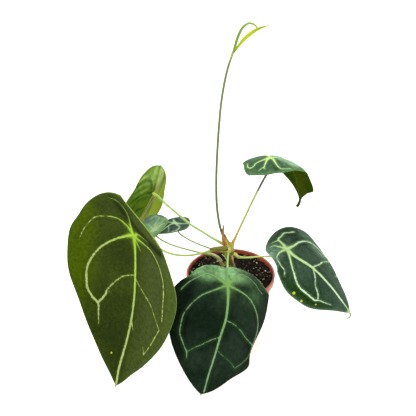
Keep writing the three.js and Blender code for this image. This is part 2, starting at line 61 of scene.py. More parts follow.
# Pot, soil and stem
POT_HEIGHT = 105.0
POT_BASE_RADIUS = 40.0
POT_RIM_RADIUS = 60.0
POT_WALL = 1.5
POT_FLOOR = 2.5
COLLAR_HEIGHT = 11.0
COLLAR_STEP = 1.8
LIP_WIDTH = 2.6
DRAIN_HOLES = 6
DRAIN_RADIUS = 4.0
DRAIN_CIRCLE = 27.0
SOIL_TOP = 101.0
STEM_X = -1.5
STEM_Y = 2.0
STEM_FOOT = 90.0
STEM_TOP = 149.0
STEM_RADIUS = 5.2
STEM_ROWS = 90
HEAP_X, HEAP_Y, HEAP_SPAN, HEAP_RISE = -34.0, 32.0, 20.0, 3.2
CHIP_SEED = 11
ROOT_SEED = 5
ANY_TURN = 6.28

# Pale bits that lie on the mix in view: where, and how wide
PALE_BITS = [(-17, 29, 2.4), (37.5, 28.5, 2.9), (34, 33, 1.8), (48, 9, 2.6), (33.5, -8, 2.2),
             (24.5, 8, 1.6), (35.5, 15.5, 1.5), (-52, 5.5, 2.3)]

# Blades: the same sheet as the solids, set finer
FOLD_SPAN = 0.35
DRIP_WIDTH = 1.3
DRIP_BLEND = 6.0
WAVE_RAMP = 12.0
WAVE_LAG = 2.0
PANEL_RIM = 9.0
PUFF_REACH = 7.0
GROOVE_REACH = 0.9
NOTCH_REACH = 12.0
UV_SPAN = 300.0

# Sheets in metres
SHEATH_THICKNESS = 0.0003
SPATHE_THICKNESS = 0.00045

CAMERA_PLACE = (-0.0305, -0.774, 0.643)
LENS = 60
SENSOR = 36
FLOOR_WIDTH = 14

# Points handled at once where every point is measured against a whole path
CHUNK = 4000


@dataclass
class Half:
    """One half of a blade, beside its midrib."""
    width: float
    shoulder: float
    taper: float
    lift: float
    curl: float
    bumps: tuple = ()


@dataclass
class Leaf:
    """One blade: where its petiole meets it, how it points and bends, and its two halves."""
    junction: tuple
    heading: float
    pitch: float
    roll: float
    tip: float
    base: float
    left: Half
    right: Half
    droop: float
    base_droop: float
    sweep: float
    twist: float
    drip: float
    drip_bend: float
    wave: float
    waves: float
    fold: float = 0.0
    fold_at: float = 0.5
    notch: float = 0.0
    veins: tuple = ()
    spots: tuple = ()


# The numbers of a leaf, in order: where its petiole ends; heading, pitch and roll; length to the tip and to
# the base; its left and right half; droop, droop of the base, sweep and twist; length and bend of the drip
# tip; height and number of the waves. A vein is its half width at both ends and the points it passes: along
# the midrib from the petiole, and across. A spot is its place and its radius. A half's bumps are where along
# the edge, how far out and how long.
LEAVES = {
    "a": Leaf(
        (-116, -90, 219), -129, -95, 5, 199, 63,
        Half(77, 0.64, 0.83, -15, 13, ((0.93, -2, 0.04),)),
        Half(94, 0.62, 0.98, 1, -52, ((0.18, -2.5, 0.05), (0.9, 1.5, 0.05))),
        -44, -21, 10, -12, 2, 0, 0.9, 3.5,
        veins=[
            (1.0, 0.1, [(2, -2), (-9, -4), (-15, -5)]),
            (1.0, 0.1, [(2, -2), (-4, 6), (-9, 12)]),
            (1.0, 0.1, [(2, -2), (9, 9), (14, 13)]),
            (2.0, 1.5, [(0, 0), (50, -1), (100, 1), (145, 0), (178, -2), (196, 0)]),
            (1.2, 1.3, [(0, -2), (10, -21), (22, -40), (34, -54), (48, -63), (62, -68), (77, -68),
                        (92, -65), (102, -58)]),
            (1.5, 0.4, [(102, -58), (109, -49), (118, -47), (134, -43)]),
            (0.9, 0.3, [(0, 0), (-11, -11), (-16, -23), (-16, -40), (-12, -55), (0, -67), (11, -74),
                        (23, -79)]),
            (0.9, 0.5, [(0, 3), (-2, 23), (0, 40), (11, 50), (27, 55), (45, 56), (70, 55), (92, 56)]),
            (0.8, 0.3, [(0, 0), (-9, 12), (-11, 24), (-11, 34)]),
            (0.6, 0.3, [(0, 0), (-12, -3), (-26, -3), (-38, -6), (-45, -10), (-48, -18), (-48, -27)]),
            (0.7, 0.8, [(55, 0), (65, -21), (78, -33), (88, -40)]),
            (1.2, 1.3, [(88, -40), (96, -42), (107, -49)]),
            (0.7, 0.1, [(88, -40), (91, -34)]),
            (0.7, 0.5, [(60, 0), (70, 18), (79, 33), (93, 44), (106, 53)]),
            (0.8, 0.4, [(106, 53), (112, 50), (129, 43), (148, 34)]),
            (0.7, 0.1, [(148, 34), (138, 30)]),
            (1.3, 0.2, [(114, 1), (121, 5), (127, 9)]),
        ],
        spots=[(163, -17, 1.1)]),
    "b": Leaf(
        (-6, -75, 138), -98, -43, -24, 138, 41,
        Half(66, 0.43, 0.83, -6, 44, ((0.03, 8, 0.05), (0.2, 5, 0.08), (0.58, -5, 0.1),
                                      (0.76, 12, 0.06))),
        Half(68, 0.67, 0.78, 0, 21, ((0.02, 10, 0.04), (0.18, -3, 0.04), (0.3, 4, 0.07))),
        29, 85, -11, -4, 2, 0, 0.9, 3,
        notch=12,
        veins=[
            (1.65, 0.85, [(0, 0), (15, 2), (40, 3), (65, 0), (88, -1), (111, -1), (134, 2)]),
            (0.85, 0.6, [(0, 0), (10, -19), (17, -31), (24, -38), (34, -45), (45, -50), (57, -51),
                         (69, -50),
                        (78, -45), (86, -40), (91, -36)]),
            (0.8, 0.3, [(91, -36), (99, -34)]),
            (0.85, 0.6, [(0, 0), (5, 16), (9, 26), (15, 35), (24, 43), (35, 50), (46, 53), (57, 52),
                         (67, 49),
                        (77, 48), (85, 44)]),
            (0.6, 0.3, [(85, 44), (92, 37), (97, 31)]),
            (1.05, 0.6, [(0, 0), (-6, -12), (-11, -21), (-12, -28), (-5, -39), (4, -50), (13, -57)]),
            (1.05, 0.5, [(0, 0), (-9, 8), (-16, 14), (-20, 20), (-18, 28), (-11, 39), (-2, 46), (2, 52)]),
            (0.55, 0.5, [(43, 4), (46, 14), (52, 25), (59, 34), (67, 48)]),
            (0.65, 0.5, [(64, 0), (70, -11), (77, -20), (84, -29), (91, -36)]),
            (0.25, 0.3, [(81, 1), (86, 10), (91, 21), (98, 31)]),
            (1.6, 0.7, [(0, 0), (-10, -1), (-28, -1)]),
        ]),
    "c": Leaf(
        (71, -20, 155), -13, -30, -1, 120, 30,
        Half(57, 0.61, 0.96, -9, 3, ((0.37, 2, 0.08), (0.6, -3.5, 0.09), (0.85, 1.5, 0.08),
                                     (1.0, 2.6, 0.02))),
        Half(58, 0.81, 0.8, 4, 49),
        23, 81, -19, -13, 12, 150, 0.8, 3,
        veins=[
            (2.5, 2.6, [(0, 0), (14, -3), (42, 1), (73, 0), (99, -1)]),
            (2.5, 1.2, [(99, -1), (108, 0), (116, 0)]),
            (1.5, 0.6, [(0, 0), (8, 15), (13, 27), (22, 40), (31, 47), (40, 50), (48, 49), (56, 47)]),
            (1.3, 1.1, [(2, -2), (6, -8), (12, -18), (21, -28), (30, -37), (42, -42), (55, -42),
                        (67, -41)]),
            (1.0, 0.4, [(67, -41), (72, -37), (82, -33), (90, -29)]),
            (1.1, 0.4, [(0, 0), (-8, -12), (-10, -21), (-1, -29), (8, -33), (11, -39)]),
            (1.2, 0.5, [(0, 0), (-9, -1), (-17, 1), (-22, 0)]),
            (1.5, 0.7, [(0, 0), (-9, 9), (-13, 14), (-10, 23), (-8, 29), (-2, 35), (3, 41)]),
            (0.9, 0.6, [(42, 2), (50, 18), (54, 30), (62, 44)]),
            (1.0, 0.8, [(43, 0), (50, -12), (56, -24), (65, -31), (71, -38)]),
            (0.9, 0.3, [(-12, 13), (-20, 8)]),
            (0.5, 0.3, [(78, 30), (80, 38)]),
        ],
        spots=[(35, -52, 1.9), (51, -55, 1.6), (72, -45, 1.1)]),
    "d": Leaf(
        (51, 40, 254.2), 35, -6, -4, 102, 40,
        Half(45, 0.51, 0.96, 0, 34, ((0.06, -7, 0.07), (0.18, 7, 0.08), (0.87, -3.5, 0.08),
                                     (1.0, 2.4, 0.02))),
        Half(44, 0.455, 0.85, -4, 16, ((0.02, -9.5, 0.06), (0.13, -5.6, 0.07), (0.34, -3, 0.07),
                                       (0.55, -2, 0.07), (0.74, 12.5, 0.1), (1.0, 2.4, 0.02))),
        36.4, 47, -1, 10.5, 13, 52, 0.5, 3,
        fold=39, fold_at=0.27,
        veins=[
            (1.0, 0.7, [(5, 8), (20, 3), (45, 0), (98, 0)]),
            (1.0, 0.6, [(5, 8), (-3, 6), (-9, 6), (-15, 7), (-20, 7), (-25, 5), (-29, 6), (-30, 11),
                        (-26, 18), (-23, 22)]),
            (1.0, 0.7, [(5, 8), (-6, 1), (-13, -5), (-17, -8), (-21, -11)]),
            (0.8, 0.3, [(-19, -10), (-23, -9), (-28, -9)]),
            (0.7, 0.2, [(-21, -11), (-22, -15)]),
            (1.0, 0.7, [(5, 8), (3, -2), (-1, -9), (-5, -17), (-8, -25), (-8, -31), (-3, -34), (4, -36)]),
            (0.9, 0.4, [(5, 8), (12, 18), (20, 27), (34, 33), (54, 33), (70, 26)]),
            (0.5, 0.4, [(38, 0), (48, 14), (54, 26)]),
        ]),
    "e": Leaf(
        (-106, 60, 195), 202, -62, 56, 110, 40,
        Half(45, 0.41, 0.9, -8, 5, ((0.05, -3.5, 0.05), (0.3, -2.5, 0.1))),
        Half(45, 0.62, 0.74, -15, 16, ((0.5, 4, 0.13),)),
        -12, -23, 11, 12, 6, 0, 0.8, 3,
        veins=[
            (0.9, 0.4, [(0, 0), (18, -1), (40, 0), (100, 0)]),
            (0.8, 0.3, [(0, 0), (-18, 2), (-36, 1)]),
            (0.6, 0.4, [(-3, 3), (-7, 6), (-16, 12), (-19, 20), (-16, 29), (-11, 37), (-6, 42)]),
            (0.6, 0.4, [(0, 3), (0, 7), (4, 18), (11, 27), (22, 33)]),
            (0.6, 0.4, [(7, 3), (9, 11), (12, 19), (21, 22), (34, 25)]),
            (0.5, 0.3, [(22, 1), (25, 4), (29, 12), (36, 15), (50, 18)]),
            (0.5, 0.3, [(0, -2), (-9, -9), (-20, -12), (-31, -9)]),
            (0.5, 0.3, [(4, -3), (12, -12), (25, -20), (45, -25)]),
        ]),
    "f": Leaf(
        (-104, 15, 159), 187, -34, -2, 33, 27,
        Half(26, 0.56, 0.84, -18, 4), Half(27, 0.57, 0.77, -16, -13),
        12, -6, -2, -2, 4, 0, 0.5, 2,
        veins=[
            (1.2, 0.5, [(-2, -4), (10, -2), (28, 0)]),
            (1.0, 0.6, [(-2, -4), (-8, -10), (-16, -16), (-13, -20), (-11, -22), (-4, -21)]),
            (1.1, 0.8, [(-2, -4), (-10, -3), (-16, -3), (-20, -1)]),
            (0.8, 0.7, [(-4, -6), (-13, -7), (-20, -7)]),
            (0.5, 0.5, [(-16, -16), (-20, -10), (-24, -6)]),
            (1.1, 0.5, [(-2, -4), (1, -13), (3, -17), (6, -19)]),
            (0.8, 0.5, [(-2, -4), (-8, 5), (-14, 12)]),
            (0.9, 0.4, [(-2, -4), (0, 11)]),
            (0.7, 0.1, [(-2, -4), (-11, 1), (-18, 4)]),
        ]),
    "g": Leaf(
        (-77, 60, 147), 213, -8, 4, 30, 22,
        Half(21, 0.53, 0.88, 0, 17), Half(20, 0.55, 0.85, 1, 17),
        17, 12, 1, 1, 4, 0, 0.4, 2,
        veins=[
            (1.0, 0.5, [(0, 0), (8, -1), (17, 0), (29, 1)]),
            (0.8, 0.5, [(0, 0), (-3, -8), (-5, -13)]),
            (0.8, 0.5, [(0, 0), (-5, 7), (-13, 11), (-18, 9)]),
            (0.8, 0.5, [(0, 0), (0, 7), (0, 13), (6, 16), (14, 14)]),
            (0.8, 0.5, [(0, 0), (4, -9), (11, -14), (18, -12)]),
            (0.5, 0.4, [(10, -1), (15, 8), (19, 11)]),
        ]),
}

# Petioles: turn round the stem, height of the foot, radius, how far below its blade it bends, and its points
PETIOLES = {
    "a": (-145, 145, 1.5, 14, [
        (-23, -10, 148), (-41, -24, 151), (-60, -39, 158), (-80, -54, 172), (-95, -66, 192)]),
    "b": (-106, 139, 1.35, 9, [(-4.9, -22, 135.5), (-5.5, -38, 132), (-8, -55, 125)]),
    "c": (-17, 133.5, 1.3, 9, [
        (8.8, -2.6, 131.8), (12.5, -5.2, 132.8), (18.5, -8.6, 134.6), (27, -12, 137.3), (37, -14, 140),
        (50, -17, 142)]),
    "d": (66, 142, 1.65, 10, [
        (2.7, 9.3, 147), (5.3, 10.6, 152.5), (9.6, 14.5, 161), (20, 24, 181), (30, 32, 201),
        (41.2, 37, 224)]),
    "e": (154, 146.5, 1.7, 9, [
        (-24, 11, 152.5), (-39, 19, 158.5), (-54, 26, 165), (-68, 34, 173.5), (-85, 44, 184)]),
    "f": (174, 113, 1.2, 7, [
        (-12.3, 3.4, 116.6), (-15, 4, 122), (-20, 4.8, 127), (-28, 5.5, 130), (-46, 8, 133),
        (-74, 11, 140),
        (-89, 13, 146)]),
    "g": (150, 133, 1.1, 6, [(-31, 17, 134), (-48, 29, 134), (-61, 39, 135.5), (-70, 50, 136)]),
}
# How much a petiole's foot swells, and over what share of its length
FEET = {"a": (0.8, 0.14), "b": (0.35, 0.12), "c": (1.1, 0.17), "d": (0.9, 0.11), "e": (0.7, 0.1),
        "f": (0.9, 0.2), "g": (0.4, 0.1)}
# Roots: turn round the stem, height where each leaves it, how far out it reaches, and its radius
ROOTS = [(-35, 121, 11, 1.3), (-75, 116, 13, 1.4), (-140, 119, 12, 1.3), (60, 114, 12, 1.4),
         (140, 118, 11, 1.4), (-55, 108, 9, 0.9), (-105, 112, 10, 1.0), (10, 110, 12, 1.1)]
# Dry sheaths that stand free, each from its foot to its free end
SPEAR = [(-6.2, 1.6, 147), (-7.3, 1.6, 152), (-8.9, 1.7, 157.5), (-9.9, 2.2, 164), (-10.3, 2.8, 171),
         (-10.1, 3.4, 178)]
TORN = [(-4, 0.5, 141), (-7, -1, 146), (-12, -4, 148.5), (-17.5, -8, 148.2)]
FLANK = [(-0.8, 1, 146), (-3.8, 1.2, 150.5), (-6.8, 1.5, 157), (-9, 2, 165)]
SCRAP = [(-7, -5.5, 128), (-8.6, -7.4, 133), (-10.4, -8.6, 137.4), (-12.8, -9, 140)]
SHRED = [(0.4, -7.6, 137), (1.6, -9.8, 131), (3.2, -11, 125), (3.4, -11.6, 119)]
FRINGE = [(-13.4, 1.4, 122), (-18, 1.4, 129), (-25, 2.2, 133), (-33, 3, 135)]

# The flower: its stalk, its spike and its bract
PEDUNCLE = [
    (-4.4, 4.6, 146), (-4.5, 4.6, 150), (-7.6, 4.2, 155), (-10.8, 3.8, 161), (-15.2, 4, 177),
    (-19, 5, 205), (-20, 7, 240), (-19, 8, 280), (-17, 9, 316), (-14, 10, 350), (-8, 13, 383),
    (-1.3, 14.7, 404.6),
]
SPADIX_RADIUS = 1.75
SPADIX = [
    (-1.6, 14.6, 403.6), (1, 15.6, 412), (4, 16.4, 422), (9, 17, 432), (16, 17, 437.2), (22, 17, 435.8),
    (26.5, 16, 431.6),
]
SPATHE = [
    (-0.8, 13.4, 404.6), (3.6, 11, 411.6), (8.6, 9, 419), (14.6, 7.6, 425.4), (20.4, 6.6, 430.2),
    (27, 6, 434.2),
    (39, 6, 438.2),
]
SPATHE_SIDEWAYS = (-0.5, 0.3, 0.8)


# Settings

def colour(name, description, value):
    return FloatVectorProperty(name=name, description=description, default=value, subtype="COLOR", size=3,
                               min=0, max=1)


def number(name, description, value, **limits):
    return FloatProperty(name=name, description=description, default=value, **limits)


def count(name, description, value, **limits):
    return IntProperty(name=name, description=description, default=value, **limits)


class PLANT_LeafSettings(bpy.types.PropertyGroup):
    """Sizes and colours of the blades."""
    spacing: number("Skin spacing", "Distance between the points of a blade's skin", 0.001, min=0.0005,
                    unit="LENGTH")
    thickness: number("Thickness", "Thickness of a blade at its midrib", 0.0013, min=0.0005,
                      unit="LENGTH")
    groove: number("Vein groove", "Depth of the veins below the upper face", 0.00035, min=0,
                   unit="LENGTH")
    puff: number("Puff", "How far the panels between veins stand up", 0.0009, min=0, unit="LENGTH")
    olive: colour("Olive", "Upper face of the large left leaf", (0.026, 0.042, 0.004))
    silver: colour("Silver green", "Upper face of the leaf seen from below", (0.036, 0.078, 0.046))
    vein: colour("Vein", "Palest part of that leaf's veins", (0.46, 0.6, 0.3))
    vein_lime: colour("Young vein", "That leaf's veins near the petiole", (0.32, 0.52, 0.05))


class PLANT_StalkSettings(bpy.types.PropertyGroup):
    """Sizes and colours of the petioles, the stem and the flower."""
    sides: count("Sides", "Points round a stalk", 5, min=2, max=12)
    green: colour("Stalk green", "Middle of the petioles", (0.44, 0.6, 0.14))
    papery: colour("Papery brown", "The tall dry sheath behind the stem", (0.44, 0.16, 0.025))
    spathe: colour("Spathe", "The bract beside the spike", (0.6, 0.74, 0.02))
    spadix: colour("Spadix", "The arched spike", (0.2, 0.36, 0.02))


class PLANT_PotSettings(bpy.types.PropertyGroup):
    """Sizes and colours of the pot and the potting mix."""
    steps: count("Steps round", "Faces round the pot", 128, min=32, max=256)
    plastic: colour("Plastic", "Moulded plastic of the pot", (0.54, 0.105, 0.05))
    chips: count("Bark chips", "Pieces of bark on the soil", 620, min=0, max=2000)
    specks: count("Perlite", "White specks in the soil", 46, min=0, max=400)
    strands: count("Fibres", "Thin strands in the soil", 70, min=0, max=200)
    bark: colour("Bark", "Dark bark mix", (0.006, 0.0045, 0.0035))


class PLANT_StageSettings(bpy.types.PropertyGroup):
    """Floor, light and camera."""
    floor: colour("Floor", "Plain pale floor", (0.92, 0.92, 0.92))
    glow: number("Floor glow", "Light that the floor gives, like a light table", 0.55, min=0)
    sky: number("Room light", "Strength of the even light from all round", 1.08, min=0)
    key: number("Key light", "Power of the large light above", 9.0, min=0, unit="POWER")
    fill: number("Fill light", "Power of the light at the left", 3.0, min=0, unit="POWER")
    tilt: number("Camera tilt", "How far the camera looks down", math.radians(29.5), unit="ROTATION")


class PLANT_Settings(bpy.types.PropertyGroup):
    """All settings of the plant."""
    leaf: PointerProperty(type=PLANT_LeafSettings)
    stalk: PointerProperty(type=PLANT_StalkSettings)
    pot: PointerProperty(type=PLANT_PotSettings)
    stage: PointerProperty(type=PLANT_StageSettings)


# Objects

def pick(piece):
    """Leaves only this piece selected and active."""
    bpy.ops.object.select_all(action="DESELECT")
    piece.select_set(True)
    bpy.context.view_layer.objects.active = piece


def named(name):
    """Names the object that an operator has just added, with its mesh or curve."""
    piece = bpy.context.object
    piece.name = name
    piece.data.name = name
    return piece


def apply_modifier(piece, kind, **values):
    """Gives a piece one modifier and applies it at once."""
    pick(piece)
    bpy.ops.object.modifier_add(type=kind)
    modifier = piece.modifiers[-1]
    for key, value in values.items():
        setattr(modifier, key, value)
    bpy.ops.object.modifier_apply(modifier=modifier.name)


@contextmanager
def editing():
    """Edit mode for the active piece, for as long as the block lasts."""
    bpy.ops.object.mode_set(mode="EDIT")
    yield
    bpy.ops.object.mode_set(mode="OBJECT")


def smooth(piece, degrees=40):
    pick(piece)
    bpy.ops.object.shade_smooth_by_angle(angle=math.radians(degrees))


def places(mesh):
    """The mesh's points as rows of x, y, z."""
    flat = np.empty(len(mesh.vertices) * 3)
    mesh.vertices.foreach_get("co", flat)
    return flat.reshape(-1, 3)


def move_to(mesh, points):
    mesh.vertices.foreach_set("co", np.ascontiguousarray(points, dtype=np.float32).ravel())
    mesh.update()


def give(mesh, name, values):
    """A float on each point of the mesh, for the materials to read."""
    attribute = mesh.attributes.get(name) or mesh.attributes.new(name, "FLOAT", "POINT")
    attribute.data.foreach_set("value", np.ascontiguousarray(values, dtype=np.float32))


def finish_piece(piece, slot, nodes=(), materials=()):
    """Materials, place in the frame and the solids that the piece stands for."""
    for material in materials:
        piece.data.materials.append(material)
    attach(piece, "root")
    if nodes:
        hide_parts(*nodes)


def smooth_path(points, spacing):
    """Points a set distance apart on a centripetal curve through the given ones."""
    points = [Vector(p) for p in points]
    ends = [points[0] * 2 - points[1], *points, points[-1] * 2 - points[-2]]
    made = []
    for i in range(1, len(ends) - 2):
        a, b, c, d = ends[i - 1:i + 3]
        knots = [0.0]
        for p, q in ((a, b), (b, c), (c, d)):
            knots.append(knots[-1] + max((q - p).length ** 0.5, 1e-4))
        count = max(2, math.ceil((c - b).length / spacing))
        for k in range(count):
            t = knots[1] + (knots[2] - knots[1]) * k / count
            share = lambda m, n: (knots[n] - t) / (knots[n] - knots[m])
            rest = lambda m, n: (t - knots[m]) / (knots[n] - knots[m])
            mix = lambda p, q, m, n: p * share(m, n) + q * rest(m, n)
            low, mid, high = mix(a, b, 0, 1), mix(b, c, 1, 2), mix(c, d, 2, 3)
            made.append(mix(mix(low, mid, 0, 2), mix(mid, high, 1, 3), 1, 2))
    made.append(points[-1])
    return made


def stalk(name, path, radius_at, sides):
    """A round stalk: a path curve with a bevel, made a mesh whose points know how far along they are."""
    bpy.ops.curve.primitive_nurbs_path_add()
    piece = named(name)
    curve = piece.data
    curve.splines.clear()
    spline = curve.splines.new("POLY")
    spline.points.add(len(path) - 1)
    lengths = [0.0]
    for p, q in zip(path, path[1:]):
        lengths.append(lengths[-1] + (q - p).length)
    for point, place, length in zip(spline.points, path, lengths):
        point.co = (*(place * MM), 1)
        point.radius = radius_at(length / lengths[-1])
    curve.dimensions = "3D"
    curve.bevel_depth = MM
    curve.bevel_resolution = sides
    curve.use_fill_caps = True
    piece.location = (0, 0, 0)
    pick(piece)
    bpy.ops.object.convert(target="MESH")
    piece = named(name)
    points = places(piece.data)
    rows = np.array([tuple(p * MM) for p in path])
    nearest = np.empty(len(points), int)
    for start in range(0, len(points), CHUNK):
        gaps = np.linalg.norm(points[start:start + CHUNK, None] - rows[None], axis=2)
        nearest[start:start + CHUNK] = gaps.argmin(1)
    give(piece.data, "along", np.array(lengths)[nearest] / lengths[-1])
    smooth(piece)
    return piece


def ribbon(name, path, columns, thickness, place_at):
    """A thin sheet along a path; place_at gives the place of a point s along and y (-1 to 1) across."""
    rows = len(path) - 1
    bpy.ops.mesh.primitive_grid_add(x_subdivisions=rows, y_subdivisions=columns, size=2)
    piece = named(name)
    grid = places(piece.data)
    points = np.empty_like(grid)
    for i, (x, y, _) in enumerate(grid):
        k = round((x + 1) / 2 * rows)
        tangent = (path[min(k + 1, rows)] - path[max(k - 1, 0)]).normalized()
        points[i] = place_at(path[k], tangent, k / rows, y)
    move_to(piece.data, points * MM)
    give(piece.data, "along", (grid[:, 0] + 1) / 2)
    give(piece.data, "across", grid[:, 1])
    thicken(piece, thickness=thickness)
    return piece


def thicken(piece, **values):
    """Gives a sheet its thickness, half to each side, and smooth shading."""
    apply_modifier(piece, "SOLIDIFY", offset=0, **values)
    pick(piece)
    bpy.ops.object.shade_smooth()


# Blade sheet

def midrib(leaf):
    """Stations along the midrib: distance from the petiole, place, sideways and upward directions."""
    heading, pitch, roll = (math.radians(a) for a in (leaf.heading, leaf.pitch, leaf.roll))
    level = math.cos(pitch)
    along = Vector((math.cos(heading) * level, math.sin(heading) * level, math.sin(pitch)))
    side = Vector((-math.sin(heading), math.cos(heading), 0))
    across = side * math.cos(roll) + along.cross(side) * math.sin(roll)

    def march(sign, length, steps, turns_at):
        point, t, b = Vector(leaf.junction), along.copy(), across.copy()
        stations = []
        for i in range(steps + 1):
            n = t.cross(b)
            stations.append((sign * length * i / steps, *point, *b, *n))
            bend, swing, turn = turns_at((i + 0.5) / steps, steps)
            half = (t * math.cos(bend / 2) - n * math.sin(bend / 2) + b * (swing / 2)).normalized()
            point = point + half * (sign * length / steps)
            t = (t * math.cos(bend) - n * math.sin(bend) + b * swing).normalized()
            b = b + t.cross(b) * turn
            b = (b - t * b.dot(t)).normalized()
        return stations

    reach = leaf.tip + leaf.drip

    def tipwards(share, steps):
        s = share * reach / leaf.tip
        x = (s - leaf.fold_at) / FOLD_SPAN
        bump = (1 + math.cos(2 * math.pi * x)) / FOLD_SPAN if abs(x) < 0.5 else 0.0
        step = reach / leaf.tip / steps
        hook = leaf.drip_bend * leaf.tip / leaf.drip if s > 1 else 0.0
        return (math.radians(leaf.droop + leaf.fold * bump + hook) * step,
                math.radians(leaf.sweep * 2 * min(s, 1)) * step, math.radians(leaf.twist) * step)

    def basewards(share, steps):
        return -math.radians(leaf.base_droop) / steps, 0.0, 0.0

    stations = march(-1, leaf.base, 48, basewards)[::-1][:-1] + march(1, reach, 120, tipwards)
    return np.array(stations)


def half_width(leaf, half, u):
    s = np.clip((u + leaf.base) / (leaf.base + leaf.tip), 0, 1)
    widest = half.shoulder / (half.shoulder + half.taper)
    most = widest ** half.shoulder * (1 - widest) ** half.taper
    body = half.width * s ** half.shoulder * (1 - s) ** half.taper / most
    for at, by, span in half.bumps:
        body = body + by * np.exp(-((s - at) / span) ** 2)
    narrowing = np.maximum(u - leaf.tip + DRIP_BLEND, 0) / (leaf.drip + 1.5 * DRIP_BLEND)
    return np.maximum(body, DRIP_WIDTH * (1 - narrowing))


def across_sheet(leaf, half, v):
    """How far out and how far down a point lies at v across one half."""
    lift = math.radians(half.lift)
    bend = math.radians(half.curl) / half.width
    turned = lift + bend * v
    return (np.sin(turned) - math.sin(lift)) / bend, (np.cos(turned) - math.cos(lift)) / bend


def sheet(leaf, u, v, rise):
    """Places of the blade's middle surface at u along and v across, raised by rise along its normal."""
    stations = midrib(leaf)
    column = lambda k: np.interp(u, stations[:, 0], stations[:, k])
    point = np.stack([column(k) for k in (1, 2, 3)], -1)
    b = np.stack([column(k) for k in (4, 5, 6)], -1)
    n = np.stack([column(k) for k in (7, 8, 9)], -1)
    b /= np.linalg.norm(b, axis=1, keepdims=True)
    n /= np.linalg.norm(n, axis=1, keepdims=True)
    out_l, down_l = across_sheet(leaf, leaf.left, np.abs(v))
    out_r, down_r = across_sheet(leaf, leaf.right, np.abs(v))
    out = np.where(v >= 0, out_l, -out_r)
    down = np.where(v >= 0, down_l, down_r)
    return point + b * out[:, None] + n * (down + rise)[:, None]


def vein_distance(veins, u, v):
    """Distance of each point from the edge of the nearest vein: negative inside one."""
    marks = []
    for start, end, points in veins:
        path = smooth_path([(p[0], p[1], 0) for p in points], 0.9)
        for i, place in enumerate(path):
            marks.append((place.x, place.y, start + (end - start) * i / (len(path) - 1)))
    marks = np.array(marks)
    least = np.empty(len(u))
    for first in range(0, len(u), CHUNK):
        part = slice(first, first + CHUNK)
        along, across = u[part, None] - marks[None, :, 0], v[part, None] - marks[None, :, 1]
        least[part] = (np.hypot(along, across) - marks[None, :, 2]).min(1)
    return least


def span(x, start, end, least=0):
    """Runs straight from 0 where x is at start to 1 where it is at end."""
    return np.clip((x - start) / (end - start), least, 1)


def hump(x, centre, width):
    """1 at the centre, fading to both sides."""
    return np.exp(-((x - centre) / width) ** 2)


def near(u, v, along, across, long, wide):
    """1 at a place on the blade, fading round it."""
    return np.exp(-((u - along) / long) ** 2 - ((v - across) / wide) ** 2)


def fringe(margin, width):
    """1 on the blade's edge, fading inwards."""
    return np.exp(-np.maximum(margin, 0) / width)


def blade(name, leaf, settings, tone, materials):
    """A blade: a grid laid on the leaf's sheet, with veins and panels in relief, and given a thickness."""
    spacing = settings.spacing / MM
    length = leaf.base + leaf.tip + leaf.drip
    rows = round(length / spacing)
    columns = 2 * round(max(leaf.left.width, leaf.right.width) / spacing)
    bpy.ops.mesh.primitive_grid_add(x_subdivisions=rows, y_subdivisions=columns, size=2)
    piece = named(name)
    mesh = piece.data
    grid = places(mesh)
    share = (grid[:, 0] + 1) / 2
    split = 1 - leaf.drip / length
    body = (1 - np.cos(math.pi * (0.03 + 0.97 * np.minimum(share / split, 1)))) / 2
    u = np.where(share <= split, -leaf.base + body * (leaf.base + leaf.tip), -leaf.base + share * length)
    half = np.where(grid[:, 1] >= 0, half_width(leaf, leaf.left, u), half_width(leaf, leaf.right, u))
    t = grid[:, 1]
    v = half * t
    behind = np.clip(-u / leaf.base, 0, 1) ** 2
    u = u + leaf.notch * behind * hump(v, 0, NOTCH_REACH)
    margin = np.minimum((1 - np.abs(t)) * half, np.minimum(u + leaf.base, leaf.tip + leaf.drip - u) + 1)
    gap = vein_distance(leaf.veins, u, v)
    outside = np.maximum(gap, 0)
    inner = span(margin, 0, PANEL_RIM)
    puff = settings.puff / MM * (1 - np.exp(-outside / PUFF_REACH)) * inner
    groove = settings.groove / MM * hump(outside, 0, GROOVE_REACH)
    ripple = 0.16 * np.sin(0.21 * u + 0.9) * np.sin(0.17 * v) * inner
    phase = 2 * math.pi * leaf.waves * u / (leaf.base + leaf.tip)
    swing = np.sin(phase + np.where(t > 0, 0, WAVE_LAG))
    wave = leaf.wave * t * t * swing * np.minimum(1, np.abs(v) / WAVE_RAMP)
    move_to(mesh, sheet(leaf, u, v, wave + (puff - groove + ripple)) * MM)
    give(mesh, "vein", gap)
    give(mesh, "margin", margin)
    away = 1.6 * np.abs(v) + 0.7 * np.abs(u) - 8
    give(mesh, "far", np.clip(away / (0.35 * (leaf.tip + leaf.base)), 0, 1))
    for channel, share in zip(("border", "shine", "shade", "glow"), tone(u, v, margin, outside)):
        give(mesh, channel, np.clip(share + 0 * u, 0, 1))
    spots = leaf.spots or [(leaf.tip * 2, 0, 0)]
    give(mesh, "spot", np.min([np.hypot(u - a, v - b) - r for a, b, r in spots], axis=0))
    ribbed = hump(v, 0, 2.2) * (1 - 0.6 * span(u, 0, leaf.tip))
    group = piece.vertex_groups.new(name="thick")
    for index, weight in enumerate(0.45 + 0.55 * ribbed):
        group.add((index,), float(weight), "REPLACE")
    place = mesh.uv_layers.active.data
    corners = np.empty(len(mesh.loops), int)
    mesh.loops.foreach_get("vertex_index", corners)
    flat = np.stack([(u[corners] + leaf.base) / UV_SPAN, 0.5 + v[corners] / UV_SPAN], -1)
    place.foreach_set("uv", flat.astype(np.float32).ravel())
    for material in materials:
        mesh.materials.append(material)
    thicken(piece, thickness=settings.thickness, vertex_group="thick", thickness_vertex_group=0.3,
            material_offset=1, material_offset_rim=1, use_even_offset=False)
    return piece


# Materials

